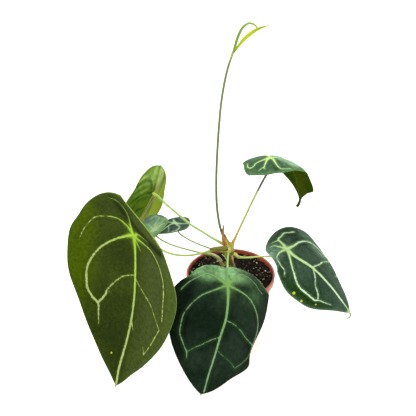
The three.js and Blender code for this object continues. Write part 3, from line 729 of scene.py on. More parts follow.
# How strongly the fine net between the veins shows, and the sheen of a velvety face
NET_SHARE = 0.06
SHEEN_ROUGHNESS = 0.45
SHEEN_TINT = (0.75, 1.0, 0.85, 1.0)


class Nodes:
    """A node tree, with a short call for each kind of node used here; each call gives the node's output."""

    def __init__(self, tree):
        self.tree = tree

    def link(self, output, socket):
        self.tree.links.new(output, socket)

    def put(self, kind, inputs, **settings):
        """One node with its settings; an input is a value or another node's output."""
        made = self.tree.nodes.new(kind)
        for key, value in settings.items():
            setattr(made, key, value)
        for key, value in inputs.items():
            socket = made.inputs[key]
            if isinstance(value, bpy.types.NodeSocket):
                self.link(value, socket)
            elif isinstance(value, tuple):
                socket.default_value = value if len(value) == len(socket.default_value) else (*value, 1.0)
            else:
                socket.default_value = value
        return made

    def blend(self, factor, a, b, kind="MIX"):
        values = {0: factor, 6: a, 7: b}
        return self.put("ShaderNodeMix", values, data_type="RGBA", blend_type=kind).outputs[2]

    def math(self, operation, a, b=0.0):
        return self.put("ShaderNodeMath", {0: a, 1: b}, operation=operation).outputs[0]

    def times(self, a, b):
        return self.math("MULTIPLY", a, b)

    def plus(self, a, b):
        return self.math("ADD", a, b)

    def grey(self, value):
        return self.put("ShaderNodeCombineColor", {0: value, 1: value, 2: value}).outputs[0]

    def cells(self, vector, scale):
        """Distance to the edge of a net of irregular cells."""
        values = {"Vector": vector, "Scale": scale}
        return self.put("ShaderNodeTexVoronoi", values, feature="DISTANCE_TO_EDGE").outputs["Distance"]

    def ramp(self, value, low, high, start=0.0, end=1.0):
        """Runs smoothly from start to end while value goes from low to high."""
        values = {"Value": value, "From Min": low, "From Max": high, "To Min": start, "To Max": end}
        return self.put("ShaderNodeMapRange", values, interpolation_type="SMOOTHSTEP").outputs[0]

    def attribute(self, name):
        return self.put("ShaderNodeAttribute", {}, attribute_name=name).outputs["Fac"]

    def object_place(self):
        return self.put("ShaderNodeTexCoord", {}).outputs["Object"]

    def sheet_place(self):
        return self.put("ShaderNodeUVMap", {}).outputs[0]

    def height_of(self, place):
        return self.put("ShaderNodeSeparateXYZ", {0: place}).outputs[2]

    def stretch(self, place, scale):
        return self.put("ShaderNodeMapping", {"Vector": place, "Scale": scale}).outputs[0]

    def grain(self, vector, scale, detail=2.0, rough=0.5):
        values = {"Vector": vector, "Scale": scale, "Detail": detail, "Roughness": rough}
        return self.put("ShaderNodeTexNoise", values).outputs[0]

    def surface(self, main, body, height, depth):
        """Links a material's colour and its relief, depth metres high."""
        self.link(body, main.inputs["Base Color"])
        made = self.put("ShaderNodeBump", {"Height": height, "Distance": depth, "Strength": 1.0})
        self.link(made.outputs["Normal"], main.inputs["Normal"])


def leaf_markings():
    """Group: the colours and fine height of a blade from its vein distance."""
    tree = bpy.data.node_groups.new("Leaf Markings", "ShaderNodeTree")
    for kind, in_out, labels in (
            ("Vector", "INPUT", ("Place",)),
            ("Float", "INPUT", ("Vein", "Far", "Ragged", "Halo Reach", "Halo Share")),
            ("Float", "INPUT", ("Border Share", "Painted Highlight Share", "Shade Share", "Glow Share")),
            ("Color", "INPUT", ("Lamina", "Patch", "Border", "Painted Highlight", "Halo", "Young Vein", "Pale Vein")),
            ("Color", "OUTPUT", ("Colour",)), ("Float", "OUTPUT", ("Height",))):
        for label in labels:
            tree.interface.new_socket(label, in_out=in_out, socket_type=f"NodeSocket{kind}")
    at, end = tree.nodes.new("NodeGroupInput").outputs, tree.nodes.new("NodeGroupOutput").inputs
    place = at["Place"]
    n = Nodes(tree)
    ragged = n.times(at["Ragged"], n.plus(at["Far"], 0.25))
    wander = n.times(n.plus(n.grain(place, 75, 4, 0.75), -0.5), n.times(ragged, 3.0))
    breaks = n.times(n.ramp(n.grain(place, 34, 3), 0.5, 0.75), n.times(ragged, 0.55))
    distance = n.plus(at["Vein"], n.plus(wander, breaks))
    mask = n.ramp(distance, 0.5, -0.3)
    patches = n.ramp(n.grain(place, 8, 4, 0.62), 0.4, 0.62)
    lamina = n.blend(patches, at["Lamina"], at["Patch"])
    lamina = n.blend(at["Border Share"], lamina, at["Border"])
    streaks = n.ramp(n.grain(place, 26, 4, 0.65), 0.3, 0.62, 0.55, 1.1)
    # Painted highlight: a streaky pale sheen where the blade faces the light
    lamina = n.blend(n.times(at["Painted Highlight Share"], streaks), lamina, at["Painted Highlight"])
    # Painted shade: the colour darkened towards black
    lamina = n.blend(n.times(at["Shade Share"], 0.62), lamina, (0, 0, 0))
    net = n.cells(place, 34.0)
    fine = n.cells(place, 110.0)
    lamina = n.blend(n.times(n.ramp(net, 0.07, 0.0), NET_SHARE), lamina, at["Halo"])
    lamina = n.blend(n.times(n.ramp(fine, 0.1, 0.0), 0.5 * NET_SHARE), lamina, at["Halo"])
    halo = n.times(n.ramp(at["Vein"], at["Halo Reach"], 0.0), at["Halo Share"])
    lamina = n.blend(halo, lamina, at["Halo"])
    lamina = n.blend(at["Glow Share"], lamina, at["Young Vein"])
    mottle = n.ramp(n.grain(place, 70, 5, 0.7), 0.3, 0.7, 0.72, 1.26)
    lamina = n.blend(1.0, lamina, n.grey(mottle), "MULTIPLY")
    vein = n.blend(at["Far"], at["Young Vein"], at["Pale Vein"])
    vein = n.blend(n.ramp(n.grain(place, 90, 3), 0.45, 0.75, 0.0, 0.45), vein, at["Halo"])
    n.link(n.blend(mask, lamina, vein), end["Colour"])
    nap = n.times(n.grain(place, 420, 3, 0.7), 0.25)
    quilt = n.plus(n.times(n.ramp(fine, 0.0, 0.22), 0.4), n.times(n.ramp(net, 0.0, 0.12), 0.6))
    n.link(n.plus(nap, quilt), end["Height"])
    return tree


def shader(name, roughness, specular=0.3, sheen=0.0):
    """A material with its shader's own sockets set; the caller gives it colour and relief."""
    material = bpy.data.materials.new(name)
    material.use_nodes = True
    main = material.node_tree.nodes["Principled BSDF"]
    main.inputs["Roughness"].default_value = roughness
    main.inputs["Specular IOR Level"].default_value = specular
    if sheen:
        main.inputs["Sheen Weight"].default_value = sheen
        main.inputs["Sheen Roughness"].default_value = SHEEN_ROUGHNESS
        main.inputs["Sheen Tint"].default_value = SHEEN_TINT
    return material, Nodes(material.node_tree), main


@dataclass
class Velvet:
    """Finish of one upper face."""
    lamina: tuple
    patch: tuple
    border: tuple
    # Colour of the painted highlight
    shine: tuple
    halo: tuple
    young: tuple
    pale: tuple
    ragged: float = 0.7
    reach: float = 4.0
    share: float = 0.35
    sheen: float = 0.0
    specular: float = 0.15


def velvet_material(name, group, finish):
    material, n, main = shader(name, 0.6, finish.specular, finish.sheen)
    marks = n.put("ShaderNodeGroup", {
        "Place": n.sheet_place(), "Vein": n.attribute("vein"), "Far": n.attribute("far"),
        "Border Share": n.attribute("border"), "Painted Highlight Share": n.attribute("shine"),
        "Shade Share": n.attribute("shade"), "Glow Share": n.attribute("glow"),
        "Lamina": finish.lamina, "Patch": finish.patch, "Border": finish.border, "Painted Highlight": finish.shine,
        "Halo": finish.halo, "Young Vein": finish.young, "Pale Vein": finish.pale,
        "Ragged": finish.ragged,
        "Halo Reach": finish.reach, "Halo Share": finish.share,
    }, node_tree=group)
    spot = n.ramp(n.attribute("spot"), 0.6, -0.4)
    tinted = n.blend(spot, marks.outputs["Colour"], (0.5, 0.55, 0.03))
    n.surface(main, tinted, marks.outputs["Height"], 0.00035)
    return material


def underside_material(name, lamina, warm, vein, specular=0.06, told=False):
    """The paler lower face, its veins standing out, or where told with streaked parts, pale parts of painted
    highlight and dark parts of painted shade.
    """
    material, n, main = shader(name, 0.5, specular)
    place = n.sheet_place()
    gap = n.attribute("vein")
    body = n.blend(n.ramp(n.grain(place, 12, 3), 0.35, 0.7), lamina, warm)
    if told:
        body = n.blend(n.attribute("border"), body, (0.22, 0.32, 0.003))
        stretched = n.stretch(place, (6.0, 42.0, 1.0))
        streak = n.ramp(n.grain(stretched, 1.0, 4, 0.6), 0.47, 0.54)
        streak = n.times(streak, n.attribute("glow"))
        body = n.blend(streak, body, (0.26, 0.23, 0.055))
        dark = n.times(n.ramp(n.grain(stretched, 1.7, 3), 0.49, 0.55), n.attribute("glow"))
        body = n.blend(n.times(dark, 0.9), body, (0.06, 0.07, 0.004))
        # Painted highlight: pale parts where the panels bulge towards the light
        fold = n.times(n.ramp(n.grain(place, 30, 4, 0.6), 0.3, 0.65, 0.6, 1.1), n.attribute("shine"))
        body = n.blend(fold, body, (0.36, 0.52, 0.12))
        # Painted shade: grooves, lower parts, one line and the edge made darker
        body = n.blend(n.times(n.attribute("shade"), 0.72), body, (0.02, 0.045, 0.0))
    else:
        body = n.blend(n.times(n.ramp(gap, 6.0, 0.3), 0.45), body, vein)
        body = n.blend(n.ramp(gap, 0.5, -0.3), body, vein)
    # Paler along the edge: painted light, standing in for light through the thin rim
    border = n.ramp(n.attribute("margin"), 1.6, 0.3)
    body = n.blend(n.times(border, 0.6), body, vein)
    quilt = n.times(n.ramp(n.cells(place, 90.0), 0.0, 0.2), 0.25)
    n.surface(main, body, n.math("SUBTRACT", n.ramp(gap, 1.5, -0.5), quilt), 0.0005)
    return material


def stalk_material(name, foot, middle, head, foot_share=0.1, head_share=0.9):
    """A stalk's skin: three colours along it, fine lengthwise streaks and tiny pores."""
    material, n, main = shader(name, 0.42, 0.4)
    along = n.attribute("along")
    place = n.object_place()
    streaks = n.ramp(n.grain(place, 900, 2, 0.6), 0.3, 0.75, 0.78, 1.2)
    body = n.blend(n.ramp(along, foot_share * 0.3, foot_share * 1.7), foot, middle)
    body = n.blend(n.ramp(along, head_share, min(1.0, head_share + 0.07)), body, head)
    body = n.blend(1.0, body, n.grey(streaks), "MULTIPLY")
    n.surface(main, body, n.grain(place, 1400, 2), 0.0002)
    return material


def mixed_material(name, low, high, scale, rough, specular=0.3, depth=0.0006, third=None, third_from=0.6):
    """Two or three colours mixed by a noise on the object's own coordinates, with matching relief."""
    material, n, main = shader(name, rough, specular)
    place = n.object_place()
    coarse = n.grain(place, scale, 4, 0.62)
    body = n.blend(n.ramp(coarse, 0.35, 0.68), low, high)
    if third:
        body = n.blend(n.ramp(n.grain(place, scale * 0.6, 3), third_from, third_from + 0.1), body, third)
    n.surface(main, body, coarse, depth)
    return material


# Operators

class PLANT_OT_pot(bpy.types.Operator):
    """Spin the pot with its collar and lip, and drill its drain holes"""
    bl_idname = "object.plant_pot"
    bl_label = "Add Pot"

    def execute(self, context):
        settings = context.scene.plant.pot
        foot, rim, top, floor = POT_BASE_RADIUS, POT_RIM_RADIUS, POT_HEIGHT, POT_FLOOR
        wall = lambda z: foot + (rim - COLLAR_STEP - foot) * z / top
        inside = lambda z: wall(z) - POT_WALL
        collar, lip = top - COLLAR_HEIGHT, rim - LIP_WIDTH
        profile = [
            (0.01, 0.6), (24, 0.6), (25, 0), (foot - 1.2, 0), (foot - 0.2, 0.5), (wall(2), 2),
            (wall(30), 30), (wall(60), 60), (wall(collar - 1), collar - 1), (wall(collar) + 0.4, collar),
            (wall(collar) + COLLAR_STEP, collar + 1), (rim - 0.5, collar + 2.2), (rim - 0.25, top - 2.2),
            (rim, top - 1.1), (rim - 0.3, top - 0.3), (rim - 0.9, top), (lip + 0.9, top),
            (lip + 0.25, top - 0.3), (lip, top - 1.2), (inside(collar) + 0.6, collar - 1),
            (inside(collar), collar - 4), (inside(floor + 2), floor + 2), (inside(floor) - 1.5, floor),
            (0.01, floor),
        ]
        bpy.ops.mesh.primitive_circle_add(vertices=len(profile), radius=0.01)
        pot = named("pot_shell")
        move_to(pot.data, np.array([(r, 0, z) for r, z in profile]) * MM)
        with editing():
            bpy.ops.mesh.select_all(action="SELECT")
            bpy.ops.mesh.spin(steps=settings.steps, angle=2 * math.pi, center=(0, 0, 0), axis=(0, 0, 1))
            bpy.ops.mesh.remove_doubles(threshold=0.00002)
            bpy.ops.mesh.normals_make_consistent(inside=False)
        for i in range(DRAIN_HOLES):
            turn = 2 * math.pi * (i + 0.5) / DRAIN_HOLES
            at = (DRAIN_CIRCLE * MM * math.cos(turn), DRAIN_CIRCLE * MM * math.sin(turn), 0)
            width = DRAIN_RADIUS * MM
            bpy.ops.mesh.primitive_cylinder_add(vertices=28, radius=width, depth=12 * MM, location=at)
            drill = named("drill")
            apply_modifier(pot, "BOOLEAN", operation="DIFFERENCE", object=drill, solver="EXACT")
            bpy.data.objects.remove(drill)
        smooth(pot, 35)
        finish_piece(pot, "pot_plastic", ["pot"], [self.plastic(settings)])
        return {"FINISHED"}

    def plastic(self, settings):
        """Moulded plastic: faint rings, dust, scuffs, and a painted highlight along the top of the lip."""
        material, n, main = shader("Pot Plastic", 0.38, 0.5)
        place = n.object_place()
        height = n.height_of(place)
        base = tuple(settings.plastic)
        dark = tuple(c * 0.62 for c in base)
        pale = (0.62, 0.2, 0.11)
        body = n.blend(n.ramp(n.grain(place, 24, 4), 0.35, 0.7), base, dark)
        # Painted highlight: the top of the lip made paler, as if lit from above
        body = n.blend(n.times(n.ramp(height, 0.1030, 0.1046), 0.55), body, pale)
        scuffs = n.stretch(place, (60.0, 60.0, 700.0))
        marks = n.times(n.ramp(n.grain(scuffs, 1.0, 3), 0.62, 0.75), 0.25)
        body = n.blend(marks, body, pale)
        dust = n.times(n.ramp(n.grain(place, 180, 4, 0.7), 0.5, 0.8), 0.3)
        body = n.blend(dust, body, (0.2, 0.12, 0.08))
        n.link(n.ramp(n.grain(place, 90, 4), 0.3, 0.7, 0.3, 0.55), main.inputs["Roughness"])
        values = {"Vector": place, "Scale": 90.0, "Distortion": 0.4, "Detail": 1.0}
        rings = n.put("ShaderNodeTexWave", values, wave_type="BANDS", bands_direction="Z").outputs["Fac"]
        relief = n.plus(n.times(rings, 0.5), n.grain(place, 700, 2))
        n.surface(main, body, relief, 0.0002)
        return material


def heap(x, y):
    """How much higher the mix lies at the back left, where it is heaped against the wall."""
    return HEAP_RISE * near(x, y, HEAP_X, HEAP_Y, HEAP_SPAN, HEAP_SPAN)


class PLANT_OT_soil(bpy.types.Operator):
    """Lay the bark mix with its chips, white specks and fibres"""
    bl_idname = "object.plant_soil"
    bl_label = "Add Soil"

    def execute(self, context):
        settings = context.scene.plant.pot
        draw = random.Random(CHIP_SEED)
        radius = POT_RIM_RADIUS - LIP_WIDTH - 1.1
        self.bed(radius, settings)
        bark = self.chip_material(tuple(settings.bark))
        self.scatter("bark_chips", self.chips(draw), settings.chips, radius, (1.2, 4.2), draw, bark)
        specks = mixed_material("Perlite", (0.75, 0.72, 0.45), (0.9, 0.88, 0.7), 900, 0.85, 0.2,
                                depth=0.0003, third=(0.7, 0.62, 0.2))
        balls = self.chips(draw, round_ones=True)
        self.scatter("perlite", balls, settings.specks, radius, (0.6, 1.5), draw, specks, 1.5, PALE_BITS)
        self.fibres(settings, radius, draw)
        return {"FINISHED"}

    def chip_material(self, dark):
        """Bark: most chips near black, some brown and a few tan, each with its own grain."""
        material, n, main = shader("Bark Chip", 0.8, 0.12)
        place = n.object_place()
        tint = n.attribute("tint")
        fibre = n.grain(place, 700, 4, 0.62)
        body = n.blend(n.ramp(fibre, 0.35, 0.66), dark, (0.04, 0.027, 0.017))
        body = n.blend(n.ramp(tint, 0.66, 0.8), body, (0.1, 0.068, 0.04))
        body = n.blend(n.ramp(tint, 0.91, 0.95), body, (0.32, 0.24, 0.13))
        n.surface(main, body, fibre, 0.0006)
        return material

    def bed(self, radius, settings):
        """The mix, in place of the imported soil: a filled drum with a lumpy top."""
        bpy.ops.mesh.primitive_grid_add(x_subdivisions=110, y_subdivisions=110, size=2)
        bed = named("soil_bed")
        grid = places(bed.data)
        square = np.maximum(np.abs(grid[:, 0]), np.abs(grid[:, 1]))
        length = np.hypot(grid[:, 0], grid[:, 1])
        scale = np.where(length > 0, square / np.maximum(length, 1e-9), 0)
        flat = grid[:, :2] * scale[:, None] * radius
        lumps = [Vector((x * 0.12, y * 0.12, 3)) for x, y in flat]
        rise = np.array([2.2 * noise.fractal(lump, 0.7, 2.2, 4) for lump in lumps])
        top = SOIL_TOP - 1.4 + np.clip(rise, -2.0, 1.6) + heap(flat[:, 0], flat[:, 1])
        move_to(bed.data, np.column_stack([flat, top]) * MM)
        with editing():
            bpy.ops.mesh.select_all(action="SELECT")
            bpy.ops.mesh.region_to_loop()
            bpy.ops.mesh.extrude_region_move(TRANSFORM_OT_translate={"value": (0, 0, -0.001)})
        points = places(bed.data)
        rim = np.zeros(len(points), bool)
        rim[len(grid):] = True
        share = (POT_BASE_RADIUS - POT_WALL - 1.2) / radius
        points[rim, :2] *= share
        points[rim, 2] = (POT_FLOOR + 0.3) * MM
        move_to(bed.data, points)
        with editing():
            bpy.ops.mesh.select_mode(type="VERT")
            bpy.ops.mesh.select_all(action="DESELECT")
        for vertex, chosen in zip(bed.data.vertices, rim):
            vertex.select = bool(chosen)
        with editing():
            bpy.ops.mesh.edge_face_add()
            bpy.ops.mesh.select_all(action="SELECT")
            bpy.ops.mesh.normals_make_consistent(inside=False)
        smooth(bed, 50)
        mix = mixed_material("Potting Mix", tuple(settings.bark), (0.018, 0.012, 0.008), 420, 0.9, 0.1,
                             depth=0.002, third=(0.045, 0.03, 0.018), third_from=0.64)
        finish_piece(bed, "bark_mix", ["soil"], [mix])

    def chips(self, draw, round_ones=False):
        """A few chip shapes, each a box or ball with its corners pulled about."""
        shapes = []
        for i in range(5):
            if round_ones:
                bpy.ops.mesh.primitive_ico_sphere_add(subdivisions=1, radius=0.5)
            else:
                bpy.ops.mesh.primitive_cube_add(size=1)
                with editing():
                    bpy.ops.mesh.bevel(offset=0.16, segments=1)
            chip = named("chip")
            points = places(chip.data)
            points += np.array([[draw.uniform(-0.11, 0.11) for _ in range(3)] for _ in points])
            if not round_ones:
                points *= (1, draw.uniform(0.5, 0.8), draw.uniform(0.22, 0.45))
            shapes.append((points, [tuple(p.vertices) for p in chip.data.polygons]))
            bpy.data.objects.remove(chip)
        return shapes

    def scatter(self, name, shapes, count, radius, sizes, draw, material, lift=0.0, first=()):
        """Copies of the shapes strewn over the soil, kept off the stem, as one piece."""
        points, faces, tints = [], [], []
        total = 0
        spots = list(first)
        for _ in range(count):
            size = draw.uniform(*sizes)
            far = min(radius * 0.97 * math.sqrt(draw.random()), radius - size * 0.5)
            turn = draw.uniform(0, 2 * math.pi)
            spots.append((far * math.cos(turn), far * math.sin(turn), size))
        for x, y, size in spots:
            if math.hypot(x - STEM_X, y - STEM_Y) < STEM_RADIUS + size:
                continue
            z = SOIL_TOP - 0.6 + heap(x, y) + draw.uniform(-0.6, 0.9) + lift * draw.uniform(0.3, 1)
            turn, lean, roll = draw.uniform(0, ANY_TURN), draw.uniform(-0.6, 0.6), draw.uniform(-0.4, 0.4)
            turned = Matrix.Rotation(turn, 3, "Z") @ Matrix.Rotation(lean, 3, "X")
            turned = turned @ Matrix.Rotation(roll, 3, "Y")
            shape, sides = shapes[draw.randrange(len(shapes))]
            made = shape * size @ np.array(turned).T + (x, y, z)
            points.append(made)
            faces += [tuple(i + total for i in side) for side in sides]
            tints += [draw.random()] * len(made)
            total += len(made)
        mesh = bpy.data.meshes.new(name)
        mesh.from_pydata((np.concatenate(points) * MM).tolist(), [], faces)
        piece = bpy.data.objects.new(name, mesh)
        bpy.context.scene.collection.objects.link(piece)
        give(mesh, "tint", np.array(tints))
        finish_piece(piece, "bark_mix", (), [material])

    def fibres(self, settings, radius, draw):
        """Thin pale strands that lie across the mix, joined into one piece."""
        material = mixed_material("Fibre", (0.24, 0.15, 0.07), (0.42, 0.3, 0.16), 300, 0.8)
        strands = []
        for i in range(settings.strands):
            turn, far = draw.uniform(0, ANY_TURN), draw.uniform(9, radius - 9)
            x, y = far * math.cos(turn), far * math.sin(turn)
            way, bow, reach = draw.uniform(0, ANY_TURN), draw.uniform(-0.6, 0.6), draw.uniform(2, 7)
            path = []
            for k in range(9):
                s = (k / 8 - 0.5) * reach
                path.append(Vector((x + s * math.cos(way + bow * s / reach),
                                    y + s * math.sin(way + bow * s / reach),
                                    SOIL_TOP + 1.0 + heap(x, y) + 0.5 * math.sin(k + i))))
            strand = stalk(f"strand_{i}", path, lambda s: 0.13, 0)
            strands.append(strand)
        bpy.ops.object.select_all(action="DESELECT")
        for strand in strands:
            strand.select_set(True)
        bpy.context.view_layer.objects.active = strands[0]
        bpy.ops.object.join()
        finish_piece(named("soil_fibres"), "bark_mix", (), [material])


class PLANT_OT_crown(bpy.types.Operator):
    """Build the short stem with its leaf scars, its roots and its papery sheaths"""
    bl_idname = "object.plant_crown"
    bl_label = "Add Stem"

    def execute(self, context):
        settings = context.scene.plant.stalk
        self.stem(settings)
        self.roots()
        self.sheaths(settings)
        return {"FINISHED"}

    def stem(self, settings):
        path, thick = [], []
        for i in range(STEM_ROWS + 1):
            s = i / STEM_ROWS
            swell = min(1, max(0, (s - 0.5) / 0.3)) ** 2
            height = STEM_FOOT + (STEM_TOP + 1.5 - STEM_FOOT) * s
            path.append(Vector((STEM_X - 1.5 * swell, STEM_Y, height)))
            dome = max(0, s - 0.88) / 0.12
            waist = 1 - 0.16 * math.sin(math.pi * min(1, s / 0.62))
            ring = 0.35 * math.cos(10 * math.pi * s)
            cap = math.sqrt(max(0.02, 1 - 0.8 * dome ** 2))
            thick.append((STEM_RADIUS * waist + 1.9 * swell + ring) * cap)
        stem = stalk("stem_skin", path, lambda s: thick[min(STEM_ROWS, round(s * STEM_ROWS))], 8)
        points = places(stem.data) / MM
        for i, p in enumerate(points):
            out = Vector((p[0] - STEM_X, p[1] - STEM_Y, 0))
            if out.length > 2:
                out.normalize()
                by = 1.3 * noise.fractal(Vector((out.x * 2.2, out.y * 2.2, p[2] * 0.16)), 0.8, 2.0, 3)
                points[i] += np.array(out) * by
        move_to(stem.data, points * MM)
        material, n, main = shader("Stem Skin", 0.6, 0.3)
        place = n.object_place()
        height = n.height_of(place)
        streak = n.grain(n.stretch(place, (420.0, 420.0, 70.0)), 1.0, 4, 0.6)
        green = n.blend(n.ramp(streak, 0.38, 0.66), (0.62, 0.6, 0.1), (0.2, 0.27, 0.015))
        brown = n.blend(n.ramp(streak, 0.42, 0.62), (0.3, 0.2, 0.075), (0.045, 0.03, 0.012))
        edge = n.plus(height, n.times(streak, -0.016))
        body = n.blend(n.ramp(edge, 0.119, 0.129), brown, green)
        mossy = n.times(n.ramp(height, 0.1435, 0.139), n.ramp(streak, 0.3, 0.6, 0.0, 0.85))
        body = n.blend(mossy, body, (0.13, 0.2, 0.012))
        # A yellow lump at the front of the crown, its own yellow painted near white as a highlight
        yellow_lump_highlight = n.put("ShaderNodeVectorMath", {0: place, 1: (-0.0035, -0.0078, 0.1446)},
                    operation="DISTANCE")
        body = n.blend(n.ramp(yellow_lump_highlight.outputs[1], 0.0072, 0.0025), body, (0.95, 0.88, 0.3))
        scars = n.times(n.ramp(n.grain(place, 130, 3), 0.52, 0.66), 0.8)
        body = n.blend(scars, body, (0.34, 0.15, 0.04))
        n.surface(main, body, streak, 0.0009)
        finish_piece(stem, "crown", ["stem"], [material])

    def roots(self):
        """Bare roots that come out of the stem in the air and bend down into the mix."""
        material = mixed_material("Root Skin", (0.14, 0.1, 0.055), (0.5, 0.42, 0.28), 320, 0.8, 0.2,
                                  third=(0.1, 0.07, 0.045))
        draw = random.Random(ROOT_SEED)
        for i, (turn, leaves, reach, radius) in enumerate(ROOTS):
            angle = math.radians(turn)
            at = lambda out, z, lag=0.0: Vector((STEM_X + out * math.cos(angle + lag),
                                                 STEM_Y + out * math.sin(angle + lag), z))
            path = smooth_path([
                at(STEM_RADIUS - 3, leaves + 1), at(STEM_RADIUS + 1, leaves - 1),
                at(reach - 2, (leaves + SOIL_TOP) / 2 + 3, 0.1),
                at(reach, SOIL_TOP + 2, 0.15), at(reach + 1, SOIL_TOP - 3, 0.2)], 1.0)
            path = [p + Vector((draw.uniform(-0.12, 0.12), draw.uniform(-0.12, 0.12), 0)) for p in path]
            knobbly = lambda s: radius * (1.15 - 0.4 * s) * (1 + 0.08 * math.sin(31 * s))
            finish_piece(stalk(f"root_{i}", path, knobbly, 3), "crown", (), [material])

    def sheaths(self, settings):
        """Dry sheaths: each a thin sheet wrapped part way round its axis, frayed at its free end."""
        brown = tuple(settings.papery)
        dry = self.paper("Papery Sheath", (0.5, 0.3, 0.11), (0.78, 0.58, 0.28), (0.2, 0.1, 0.03))
        tall = self.paper("Spear Sheath", brown, (0.7, 0.33, 0.09), (0.2, 0.07, 0.015),
                          (0.55, 0.45, 0.06))
        fresh = self.paper("Fresh Sheath", (0.15, 0.16, 0.01), (0.3, 0.26, 0.035), (0.13, 0.055, 0.015))
        pale = self.paper("Pale Sheath", (0.6, 0.6, 0.1), (0.85, 0.74, 0.34), (0.34, 0.24, 0.06))
        moss = self.paper("Mossy Sheath", (0.36, 0.23, 0.045), (0.5, 0.38, 0.08), (0.24, 0.1, 0.025))
        cream = self.paper("Cream Sheath", (0.72, 0.64, 0.3), (0.92, 0.86, 0.56), (0.62, 0.52, 0.26))
        spear = smooth_path(SPEAR, 0.8)
        narrowing = lambda s: 4.5 * (1 - s) ** 0.85 + 0.35
        self.sleeve("sheath_spear_skin", spear, narrowing, 262, -50, tall, ["sheath_spear"], 3)
        for name, leaf, reach, arc, grow, finish, seed in (
                ("sheath_left", "a", 0.18, 215, 1.5, fresh, 4),
                ("sheath_right", "c", 0.2, 200, 0.35, pale, 5),
                ("sheath_low", "f", 0.16, 200, 0.35, pale, 6)):
            path = petiole_path(leaf)
            part = path[:max(8, round(len(path) * reach))]
            clasp = lambda s: foot_radius(leaf, s * reach) + grow
            self.sleeve(f"{name}_skin", part, clasp, arc, 90, finish, [name], seed)
        for name, points, width, arc, finish, seed in (
                ("sheath_torn", TORN, 2.4, 150, dry, 8), ("sheath_flank", FLANK, 3.8, 300, moss, 13),
                ("sheath_scrap", SCRAP, 2.6, 150, cream, 9), ("sheath_shred", SHRED, 2.0, 150, dry, 10),
                ("sheath_fringe", FRINGE, 2.6, 150, cream, 12)):
            taper = lambda s, w=width: w * (1 - 0.75 * s)
            self.sleeve(name, smooth_path(points, 0.8), taper, arc, 60, finish, (), seed)

    def sleeve(self, name, path, radius_at, arc, centre, material, nodes, seed):
        """One sheath: it wraps arc degrees round its path, facing centre, and narrows where it frays."""
        def place_at(point, tangent, s, y):
            side = Vector((-tangent.y, tangent.x, 0)).normalized()
            up = tangent.cross(side)
            fray = 0.35 + 0.25 * noise.noise(Vector((y * 3, seed, 0)))
            open_by = math.radians(arc) * (1 - 0.55 * max(0, s - fray) / (1 - fray))
            angle = math.radians(centre) + open_by / 2 * y
            radius = radius_at(s) + 0.22 * noise.noise(Vector((y * 2.2, s * 4, seed)))
            return point + side * radius * math.cos(angle) + up * radius * math.sin(angle)

        piece = ribbon(name, path, 22, SHEATH_THICKNESS, place_at)
        finish_piece(piece, "papery_brown", nodes, [material])

    def paper(self, name, base, pale, dark, inner=None):
        """Dry skin with fibres along it, darker at its free end and edges; inner colours its fresh side, and
        then a painted highlight runs down one side and painted shade along one line.
        """
        material, n, main = shader(name, 0.62, 0.25)
        along, across = n.attribute("along"), n.attribute("across")
        stretched = n.stretch(n.sheet_place(), (2.5, 16.0, 1.0))
        fibre = n.grain(stretched, 1.6, 4, 0.65)
        body = n.blend(n.ramp(fibre, 0.4, 0.62), base, pale)
        body = n.blend(n.ramp(n.grain(stretched, 2.4, 2), 0.6, 0.7), body, dark)
        if inner:
            fresh = n.times(n.ramp(across, 0.4, 0.7), n.ramp(along, 0.5, 0.25))
            body = n.blend(fresh, body, inner)
            # Painted highlight down one side
            body = n.blend(n.times(n.ramp(across, -0.45, -0.65), 0.6), body, pale)
            # Painted shade along one line
            crease_shade = n.math("ABSOLUTE", n.plus(across, -0.22))
            body = n.blend(n.times(n.ramp(crease_shade, 0.14, 0.03), 0.75), body, dark)
        edge = n.math("ABSOLUTE", across)
        body = n.blend(n.times(n.ramp(along, 0.75, 1.0), 0.6), body, dark)
        body = n.blend(n.times(n.ramp(edge, 0.7, 0.95), 0.8), body, dark)
        n.surface(main, body, fibre, 0.0005)
        return material


def petiole_path(name):
    """The way of one petiole, from inside the stem to the underside of its blade."""
    turn, leaves, _, knee, via = PETIOLES[name]
    away = Vector((math.cos(math.radians(turn)), math.sin(math.radians(turn)), 0))
    foot = Vector((STEM_X, STEM_Y, leaves))
    stations = midrib(LEAVES[name])
    row = stations[np.abs(stations[:, 0]).argmin()]
    point, n = Vector(row[1:4]), Vector(row[7:10])
    return smooth_path([foot + away * (STEM_RADIUS - 2.5), foot + away * (STEM_RADIUS + 2.5), *via,
                        point - n * knee, point - n * 2.5, point - n * 0.4], 1.6)


def foot_radius(name, s):
    """Thickness of a petiole at s of its length: swollen where it clasps the stem, and at its knee."""
    swell, reach = FEET[name]
    foot, knee = swell * math.exp(-(s / reach) ** 2), 0.2 * math.exp(-((1 - s) / 0.05) ** 2)
    return PETIOLES[name][2] * (0.94 + foot + knee)


